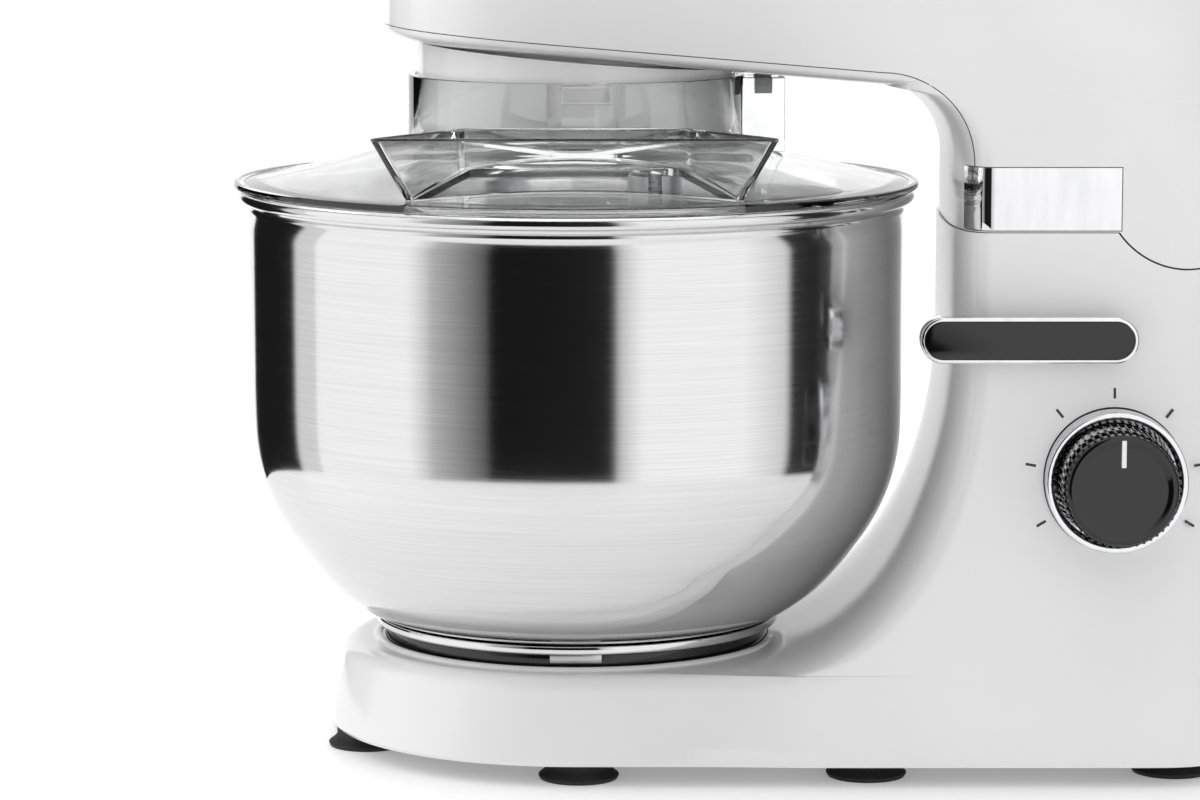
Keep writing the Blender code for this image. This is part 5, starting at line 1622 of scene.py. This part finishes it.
    def skirt(self) -> Mesh:
        """Hub skirt under the head, its top cut along the head's underside.

        Returns:
            The closed mesh.
        """
        bore, tall = self.hub_radius - self.hub_wall, self.frame_low - CLEARANCE
        r = self.hub_radius
        foot = smooth_curve([(r - 3.4 * MM, self.hub_low), (r - 1.9 * MM, self.hub_low + 0.3 * MM),
                             (r - 0.6 * MM, self.hub_low + 1.3 * MM), (r - 0.1 * MM,
                                 self.hub_low + 3.0 * MM)], 5)
        profile = [(bore, self.hub_low), *foot, (r, self.hub_low + 5 * MM), (r, tall), (bore, tall),
                   (bore, self.web_low + self.hub_wall), (self.hub_neck, self.web_low + self.hub_wall),
                   (self.hub_neck, tall), (self.hub_neck - self.hub_wall, tall),
                   (self.hub_neck - self.hub_wall, self.web_low), (bore, self.web_low)]
        centre = (self.layout.bowl_x, 0)
        ends = (-90 * MM, 90 * MM)
        slab = [(self.layout.x(x), self.seam_at(x) - self.belly - CLEARANCE) for x in ends]
        slab += [(self.layout.x(ends[1]), 300 * MM), (self.layout.x(ends[0]), 300 * MM)]
        above = carve(prism(slab, -90 * MM, 90 * MM), Cut.AWAY,
                      rod((*centre, 200 * MM), 150 * MM, (self.hub_neck + bore) / 2, sides=128))
        return carve(lathe(profile, centre, steps=160), Cut.AWAY, above)

    def build(self) -> None:
        """Make and dress the shells, trims and skirt."""
        look = self.finishes
        upper, lower = self.shells()
        show("head_cover", upper, look.white, "head", ["head_upper_shell"])
        show("head_underside", lower, look.white, "head", ["head_lower_shell"])
        for side, name in ((-1, "near"), (1, "far")):
            trim = carve(self.neck(0), Cut.KEEP, self.trim_zone(side, 0, self.trim_depth))
            show(f"neck_band_{name}", softened(trim, 0.35 * MM, 2), look.chrome, "head",
                 [f"neck_trim_{name}"])
        show("hub_collar", self.skirt(), look.white, "head", ["hub_skirt"])


@dataclass
class Lid(Assembly):
    """Clear splash lid with its collar, clip and pouring chute."""

    radius: float = 122 * MM
    low: float = 200.1 * MM
    wall: float = 2.4 * MM
    collar: float = 57.4 * MM
    collar_top: float = 240 * MM
    chute_top: float = 225 * MM
    chute_foot: float = 205 * MM
    chute_front: float = 97 * MM
    chute_back: float = 61.7 * MM
    chute_wall: float = 2.5 * MM
    slot_x: float = 3.8 * MM

    def top_at(self, radius: float) -> float:
        """Height of the lid's upper face."""
        steep = max(1 - (radius - self.collar) / (20 * MM), 0)
        return self.low + 1.6 * MM + 0.232 * (117 * MM - radius) + 1.9 * MM * steep ** 2

    def chute_ring(self, height: float, inset: float, level: Optional[float] = None) -> list[Point]:
        """Trapezium of the chute in plan.

        Args:
            height: Height whose outline it takes.
            inset: How far it is drawn in.
            level: Height at which it lies, where that is another one.

        Returns:
            Its four corners.
        """
        flare, at = (height - self.chute_foot) / (20 * MM), self.layout.x
        front, back = -(self.chute_front + 11 * MM * flare) + inset, -self.chute_back - inset
        wide = 59 * MM + 10.5 * MM * flare - inset * 1.25
        narrow = 40.5 * MM + 0.5 * MM * flare - inset * 1.25
        z = height if level is None else level
        return [(at(-wide), front, z), (at(wide), front, z), (at(narrow), back, z), (at(-narrow), back, z)]

    def soft_ring(self, height: float, inset: float) -> list[Point]:
        """The chute's plan outline at a height with its four corners rounded."""
        corners = [(x, y) for x, y, _ in self.chute_ring(height, inset)]
        return [(x, y, height) for x, y in rounded(corners, 4 * MM - inset * 0.9, 5, False)]

    def surface(self) -> Profile:
        """Upper face from its edge to the collar."""
        outer = self.collar + self.wall
        return [(r, self.top_at(r)) for r in (113 * MM - (113 * MM - outer) * (i / 16) for i in range(17))]

    def lid(self) -> Mesh:
        """Lid: an edge bead with two steps, a shallow cone and the upright collar with its slot and clip.

        Returns:
            The closed mesh.
        """
        at, outer, r = self.layout.x, self.collar + self.wall, self.radius
        edge = rounded([(r - 0.6 * MM, self.low), (r, self.low + 0.8 * MM),
                        (r - 0.3 * MM, self.low + 2.3 * MM),
                        (r - 1.6 * MM, self.low + 2.7 * MM), (r - 4 * MM, self.low + 2.0 * MM)], 0.3 * MM, 3)
        top = self.surface()
        foot = self.top_at(outer)
        rim = rounded([(outer, foot), (outer, self.collar_top), (self.collar, self.collar_top),
                       (self.collar, foot - self.wall - 1 * MM)], 0.5 * MM, 3)[4:12]
        under = [(x, z - self.wall) for x, z in reversed(top[:-1])]
        profile = [*edge, *top, *rim, (self.collar, foot - self.wall - 1 * MM), *under,
                   (r - 6 * MM, self.low)]
        mesh = lathe(profile, (at(0), 0), steps=192)
        tab_low, tab = self.top_at(outer + 6 * MM) - 1.5 * MM, (self.collar + 1 * MM, self.collar + 16.6 * MM)
        clip = soft_box((at(tab[0]), -9 * MM, tab_low), (at(tab[1]), 9 * MM, self.collar_top - 1 * MM),
                        0.6 * MM, 3)
        ribs = [box((at(centre - 0.9 * MM), -outer - 0.6 * MM, foot - 0.5 * MM),
                    (at(centre + 0.9 * MM), -self.collar + 2.2 * MM, self.collar_top - 0.8 * MM))
                for centre in (self.slot_x - 12.5 * MM, self.slot_x + 12.5 * MM)]
        pocket = box((at(outer + 1.5 * MM), -6.6 * MM, tab_low + 4 * MM),
                     (at(tab[1] - 2.4 * MM), 6.6 * MM, self.collar_top + 5 * MM))
        left, right = self.slot_x - 7.7 * MM, self.slot_x + 7.7 * MM
        low, high = self.collar_top - 6 * MM, self.collar_top - 1.8 * MM
        frame = soft_box((at(left - 1.1 * MM), -outer - 0.7 * MM, low - 1.1 * MM),
                         (at(right + 1.1 * MM), 0.5 * MM - self.collar, high + 1.1 * MM), 0.4 * MM)
        mesh = carve(mesh, Cut.JOIN, clip, *ribs, frame)
        slot = box((at(left), -70 * MM, low), (at(right), -50 * MM, high))
        mouth = loft([self.chute_ring(self.chute_foot, self.chute_wall + 1 * MM, z)
                      for z in (self.chute_foot - 12 * MM, self.chute_foot + 12 * MM)])
        return carve(mesh, Cut.AWAY, pocket, slot, mouth)

    def chute(self) -> Mesh:
        """Pouring chute: four flared walls with rounded corners and edges, standing on the cone.

        Returns:
            The closed mesh.
        """
        outer = self.collar + self.wall
        foot, top, wall, soft = self.chute_foot - 12 * MM, self.chute_top, self.chute_wall, 0.8 * MM
        levels = [foot + (top - soft - foot) * i / 6 for i in range(7)]
        turns = [math.pi * i / 8 for i in range(1, 8)]
        rings = [self.soft_ring(z, 0) for z in levels]
        rings += [self.soft_ring(top - soft * (1 - math.sin(a)), wall / 2 * (1 - math.cos(a))) for a in turns]
        rings += [self.soft_ring(z, wall) for z in reversed(levels)]
        gap = CLEARANCE
        under = [(0, 150 * MM), (130 * MM, 150 * MM), (130 * MM, self.low + 3.2 * MM),
                 (self.radius - 4 * MM, self.low + 2.6 * MM)]
        under += [(r, z + gap) for r, z in self.surface()]
        under += [(outer + gap + 0.5 * MM, self.top_at(outer) + gap),
                  (outer + gap + 0.5 * MM, self.collar_top),
                  (0, self.collar_top)]
        return carve(loft(rings, hoop=True), Cut.AWAY, lathe(under, (self.layout.bowl_x, 0), steps=192))

    def build(self) -> None:
        """Make and dress the lid and the chute."""
        show("clear_lid", self.lid(), self.finishes.clear, "head", ["splash_lid"])
        show("clear_chute", self.chute(), self.finishes.clear, "head", ["pouring_chute"])


@dataclass
class Controls(Assembly):
    """Speed knob and release lever."""

    knob_radius: float = 20 * MM
    knob_face: float = 92 * MM
    knob_shaft: float = 3 * MM
    lever_height: float = 16 * MM
    lever_face: float = 72.5 * MM
    lever_thickness: float = 9 * MM
    lever_rim: float = 1.3 * MM

    def knob(self) -> Mesh:
        """Black knob with a dished face, a fluted grip and its shaft.

        Returns:
            The closed mesh.
        """
        x, _, z = self.layout.knob
        r, face = self.knob_radius, self.knob_face
        profile = [(0, face - 1.2 * MM), (r - 5 * MM, face - 0.8 * MM), (r - 2.4 * MM, face),
                   (r - 0.9 * MM, face - 0.8 * MM), (r - 0.5 * MM, 70 * MM), (self.knob_shaft, 70 * MM),
                   (self.knob_shaft, 39 * MM), (0, 39 * MM)]
        body = lathe(rounded(profile, 0.7 * MM), steps=96)
        flute = soft_box((r - 1.2 * MM, -0.55 * MM, 71 * MM), (r, 0.55 * MM, face - 2 * MM), 0.35 * MM)
        flutes = Repeats.round_axis(flute, 48, self.finishes.black)
        return moved(joined([body, flutes]), Matrix.Translation((x, 0, z)) @ Matrix.Rotation(math.pi / 2,
            4, "X"))

    def pointer(self) -> Mesh:
        """White line on the knob's face.

        Returns:
            The closed mesh.
        """
        x, _, z = self.layout.knob
        return soft_box((x - 0.8 * MM, -self.knob_face, z + 8 * MM),
                        (x + 0.8 * MM, -self.knob_face + 1.4 * MM, z + self.knob_radius - 2.6 * MM), 0.2 * MM)

    def pill(self, inset: float, near: float, far: float) -> Mesh:
        """Prism of the lever's outline.

        Args:
            inset: How far the outline is drawn in.
            near: Where the prism starts across the lever.
            far: Where it ends.

        Returns:
            The closed mesh.
        """
        low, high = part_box("lever_handle")
        radius, z = self.lever_height / 2, (low.z + high.z) / 2
        left = arc((low.x + radius, z), radius - inset, 90, 270, 28)
        right = arc((high.x - radius, z), radius - inset, -90, 90, 28)
        return prism(left + right, near, far)

    def build(self) -> None:
        """Make and dress the knob and the lever."""
        look, face = self.finishes, self.lever_face
        show("knob_body", self.knob(), look.black, "knob", ["speed_knob"])
        show("knob_pointer", self.pointer(), look.mark, "knob", [])
        body = carve(softened(self.pill(0, -face, -(face - self.lever_thickness)), 0.9 * MM, 4), Cut.AWAY,
                     self.pill(self.lever_rim, -face - 1 * MM, -face + 2.5 * MM))
        show("lever_rim", body, look.chrome, "lever", ["lever_handle"])
        insert = softened(self.pill(self.lever_rim + 0.1 * MM, -face + 0.2 * MM, -face + 2.2 * MM),
                          0.5 * MM, 3)
        show("lever_inlay", insert, look.black, "lever", ["lever_insert"])


@dataclass
class Tool(Assembly):
    """Flat beater; the planet carrier keeps its CAD shape."""

    low: float = 54 * MM
    high: float = 172 * MM
    half_width: float = 58 * MM
    thickness: float = 7 * MM
    rib_width: float = 8.5 * MM
    socket_high: float = 205 * MM
    socket_radius: float = 9.5 * MM
    spindle_low: float = 186 * MM
    spindle_radius: float = 5 * MM
    pin_height: float = 194 * MM

    def half_at(self, z: float) -> float:
        """Side outline of the beater: narrow at the foot, widest in the middle."""
        share = (z - self.low) / (self.high - self.low)
        return self.half_width * (max(4 * share * (1 - share), 0) ** 0.42) * (0.86 + 0.2 * share)

    def outline(self, inset: float) -> Profile:
        """Closed outline of the beater in side view, drawn in by an inset.

        Args:
            inset: How far it is drawn in.

        Returns:
            The outline's points.
        """
        low, high = self.low + inset, self.high - inset
        levels = [low + (high - low) * (0.5 - 0.5 * math.cos(math.pi * i / 40)) for i in range(41)]
        side = [(max(self.half_at(z) - inset, 2 * MM), z) for z in levels]
        return side + [(-y, z) for y, z in reversed(side)]

    def beater(self) -> Mesh:
        """Cast beater with a spine, two ribs a side and a slotted socket.

        Returns:
            The closed mesh.
        """
        x, half = self.layout.planet_x, self.thickness / 2
        hole = prism(self.outline(self.rib_width), x - 10 * MM, x + 10 * MM, Axis.X)
        hole = carve(hole, Cut.AWAY, box((x - 20 * MM, -4 * MM, 0), (x + 20 * MM, 4 * MM, 300 * MM)))
        for z in (88 * MM, 118 * MM):
            bar = [(0, z), (70 * MM, z + 22 * MM), (70 * MM, z + 29 * MM), (0, z + 7 * MM),
                   (-70 * MM, z + 29 * MM),
                   (-70 * MM, z + 22 * MM)]
            hole = carve(hole, Cut.AWAY, prism(bar, x - 20 * MM, x + 20 * MM, Axis.X))
        mesh = carve(prism(self.outline(0), x - half, x + half, Axis.X), Cut.AWAY, hole)
        mesh = softened(mesh, 2.2 * MM, 3, 50)
        socket = [(0, self.high - 9 * MM), (self.socket_radius - 3 * MM, self.high - 9 * MM),
                  (self.socket_radius, self.high - 4 * MM), (self.socket_radius, self.socket_high),
                  (0, self.socket_high)]
        mesh = carve(mesh, Cut.JOIN, lathe(rounded(socket, 1.0 * MM), (x, 0), steps=64))
        return carve(mesh, Cut.AWAY,
                     rod((x, 0, self.spindle_low - 1 * MM), 60 * MM, self.spindle_radius + CLEARANCE,
                         sides=48),
                     box((x - 2.4 * MM, -15 * MM, self.pin_height - 2.4 * MM),
                         (x + 2.4 * MM, 15 * MM, 230 * MM)))

    def build(self) -> None:
        """Make and dress the beater."""
        show("beater", self.beater(), self.finishes.aluminium, "tool", ["flat_beater"], 40)


@dataclass
class Works:
    """CAD nodes that keep their shape: chassis, motor, gears and fixings, each with its material."""

    frame: dict
    finishes: Finishes

    def build(self) -> None:
        """Give each kept node its material."""
        look = self.finishes
        for material, nodes in (
                (look.grey, "base_plate speed_switch lid_catch"),
                (look.steel,
                 "column_bracket hinge_pin lever_shaft lever_spring pinion reduction_shaft drive_shaft "
                             "planet_gear tool_spindle tool_pin base_screw_1 base_screw_2 base_screw_3 base_screw_4"),
                (look.steel_x, "latch_bolt bearing_front bearing_rear worm"),
                (look.zinc, "head_frame ring_gear main_gear"),
                (look.aluminium, "planet_carrier"),
                (look.copper, "field_coil_front field_coil_rear"),
                (look.laminations, "motor_stator motor_rotor"),
                (look.nylon, "worm_wheel cooling_fan brush_holder_near brush_holder_far"),
                (look.board, "control_board")):
            for name in nodes.split():
                node = self.frame["nodes"][name]
                if not node.material_slots:
                    node.data.materials.append(material)
                for slot in node.material_slots:
                    slot.material = material
                LOG.info("%s keeps its CAD shape in %s", name, material.name)


# ---------------------------------------------------------------------------------------- studio
@dataclass
class Studio:
    """Pale table, light tent, lamps and camera."""

    layout: Layout
    lens: float = 129.4
    eye: Point = (0.0084, -1.536, 0.337)
    pitch: float = 7.95
    tent_radius: float = 0.43
    tent_height: float = 0.9
    ambient: float = 0.68
    middle: Point = (0.0, 0.0, 0.16)

    def glow(self, levels: Sequence[tuple[float, str]]) -> Material:
        """Emission that changes round the tent.

        Args:
            levels: Azimuth from the front in degrees, positive towards +X, and brightness there.

        Returns:
            The tent's material.
        """
        look = Look("tent_cloth")
        centred = look.stretched((1, 1, 1), (self.layout.bowl_x, 0, 0))
        angle = add_node(look.tree, "ShaderNodeTexGradient", {"Vector": centred}, gradient_type="RADIAL")
        stops = sorted(((0.25 + azimuth / 360) % 1, level) for azimuth, level in levels)
        ramp = add_node(look.tree, "ShaderNodeValToRGB", {"Fac": angle.outputs["Fac"]}, stops)
        look.set(Base_Color=(0, 0, 0, 1), Roughness=1.0, Specular_IOR_Level=0.0,
                 Emission_Color=ramp.outputs["Color"], Emission_Strength=1.25)
        return look.material

    def table(self) -> None:
        """Pale table, lit a little from within so that it meets the white behind it without an edge."""
        look = Look("pale_table")
        look.set(Base_Color=linear("#FAFAFA"), Roughness=0.34, IOR=1.5, Specular_IOR_Level=0.06,
                 Emission_Color=(1, 1, 1, 1), Emission_Strength=0.24)
        mesh = box((-3.0, -3.0, -0.02), (3.0, 3.0, 0.0))
        mesh.materials.append(look.material)
        placed("table", mesh)

    def tent(self, levels: Sequence[tuple[float, str]]) -> None:
        """Upright wall of cloth round the front and sides, seen only in reflections.

        Args:
            levels: Azimuth from the front in degrees, positive towards +X, and brightness there.
        """
        bm = bmesh.new()
        first, last = levels[0][0], levels[-1][0]
        steps = int((last - first) / 3)
        rows = []
        for z in (0.0, self.tent_height):
            rows.append([])
            for i in range(steps + 1):
                a = math.radians(first + (last - first) * i / steps)
                rows[-1].append(bm.verts.new((self.layout.bowl_x + self.tent_radius * math.sin(a),
                                              -self.tent_radius * math.cos(a), z)))
        for i in range(steps):
            bm.faces.new((rows[0][i], rows[0][i + 1], rows[1][i + 1], rows[1][i]))
        mesh = mesh_of(bm, "tent", outward=False)
        mesh.materials.append(self.glow(levels))
        card = placed("tent", mesh)
        card.visible_camera = card.visible_diffuse = card.visible_shadow = card.visible_transmission = False

    def lamp(self, name: str, place: Point, size: float, power: float) -> None:
        """Soft square lamp aimed at the middle of the machine.

        Args:
            name: Name of the lamp.
            place: Where it hangs.
            size: Length of its side.
            power: Power in watts.
        """
        light = bpy.data.lights.new(name, "AREA")
        light.shape = "SQUARE"
        light.size = size
        light.energy = power
        holder = placed(name, light)
        holder.location = place
        holder.rotation_euler = (Vector(self.middle) - Vector(place)).to_track_quat("-Z", "Y").to_euler()

    def camera(self) -> None:
        """Camera in front of the near side, a little above the rim."""
        data = bpy.data.cameras.new("camera")
        data.lens = self.lens
        data.sensor_width = 36.0
        data.clip_end = 50.0
        holder = placed("camera", data)
        holder.location = (self.layout.bowl_x + self.eye[0], self.eye[1], self.eye[2])
        holder.rotation_euler = (math.radians(90 - self.pitch), 0, 0)
        bpy.context.scene.camera = holder

    def sky(self) -> None:
        """White surroundings, dimmer as a source of light than as seen and mirrored."""
        world = bpy.data.worlds.new("studio")
        bpy.context.scene.world = world
        world.use_nodes = True
        tree = world.node_tree
        path = add_node(tree, "ShaderNodeLightPath")
        level = add_node(tree, "ShaderNodeMapRange", {
            "Value": path.outputs["Is Diffuse Ray"], "To Min": 1.15, "To Max": self.ambient})
        tree.links.new(level.outputs["Result"], tree.nodes["Background"].inputs["Strength"])
        tree.nodes["Background"].inputs["Color"].default_value = (1, 1, 1, 1)

    def build(self) -> None:
        """Set up the whole studio."""
        bpy.context.scene.view_settings.view_transform = "Standard"
        self.camera()
        self.table()
        self.sky()
        self.tent([(-141, "#191919"), (-103, "#191919"), (-101, "#DCDCDC"), (-88, "#FFFFFF"),
                   (-52, "#FFFFFF"),
                   (-46, "#D9D9D9"), (-44, "#BCBCBC"), (-27, "#606060"), (-25, "#161616"), (11, "#1D1D1D"),
                   (13, "#CBCBCB"), (20, "#FFFFFF"), (52, "#FFFFFF"), (68, "#D9D9D9"), (70, "#303030"),
                   (80, "#272727"), (92, "#595959")])
        self.lamp("key", (-1.5, 0.1, 0.9), 1.2, 10)
        self.lamp("fill", (0.6, -1.8, 0.9), 1.4, 3.5)
        self.lamp("top", (-0.1, 0.3, 1.8), 1.5, 5)


def main() -> None:
    """Build the machine and its studio from the frame."""
    logging.basicConfig(level=logging.INFO, format="%(name)s: %(message)s")
    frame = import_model()
    layout = Layout.of(frame)
    finishes = Finishes(layout)
    Studio(layout).build()
    Works(frame, finishes).build()
    for kind in (Stand, Bowl, Head, Lid, Controls, Tool):
        LOG.info("building %s", kind.__name__)
        kind(layout, finishes).build()


if __name__ == "__main__":
    main()
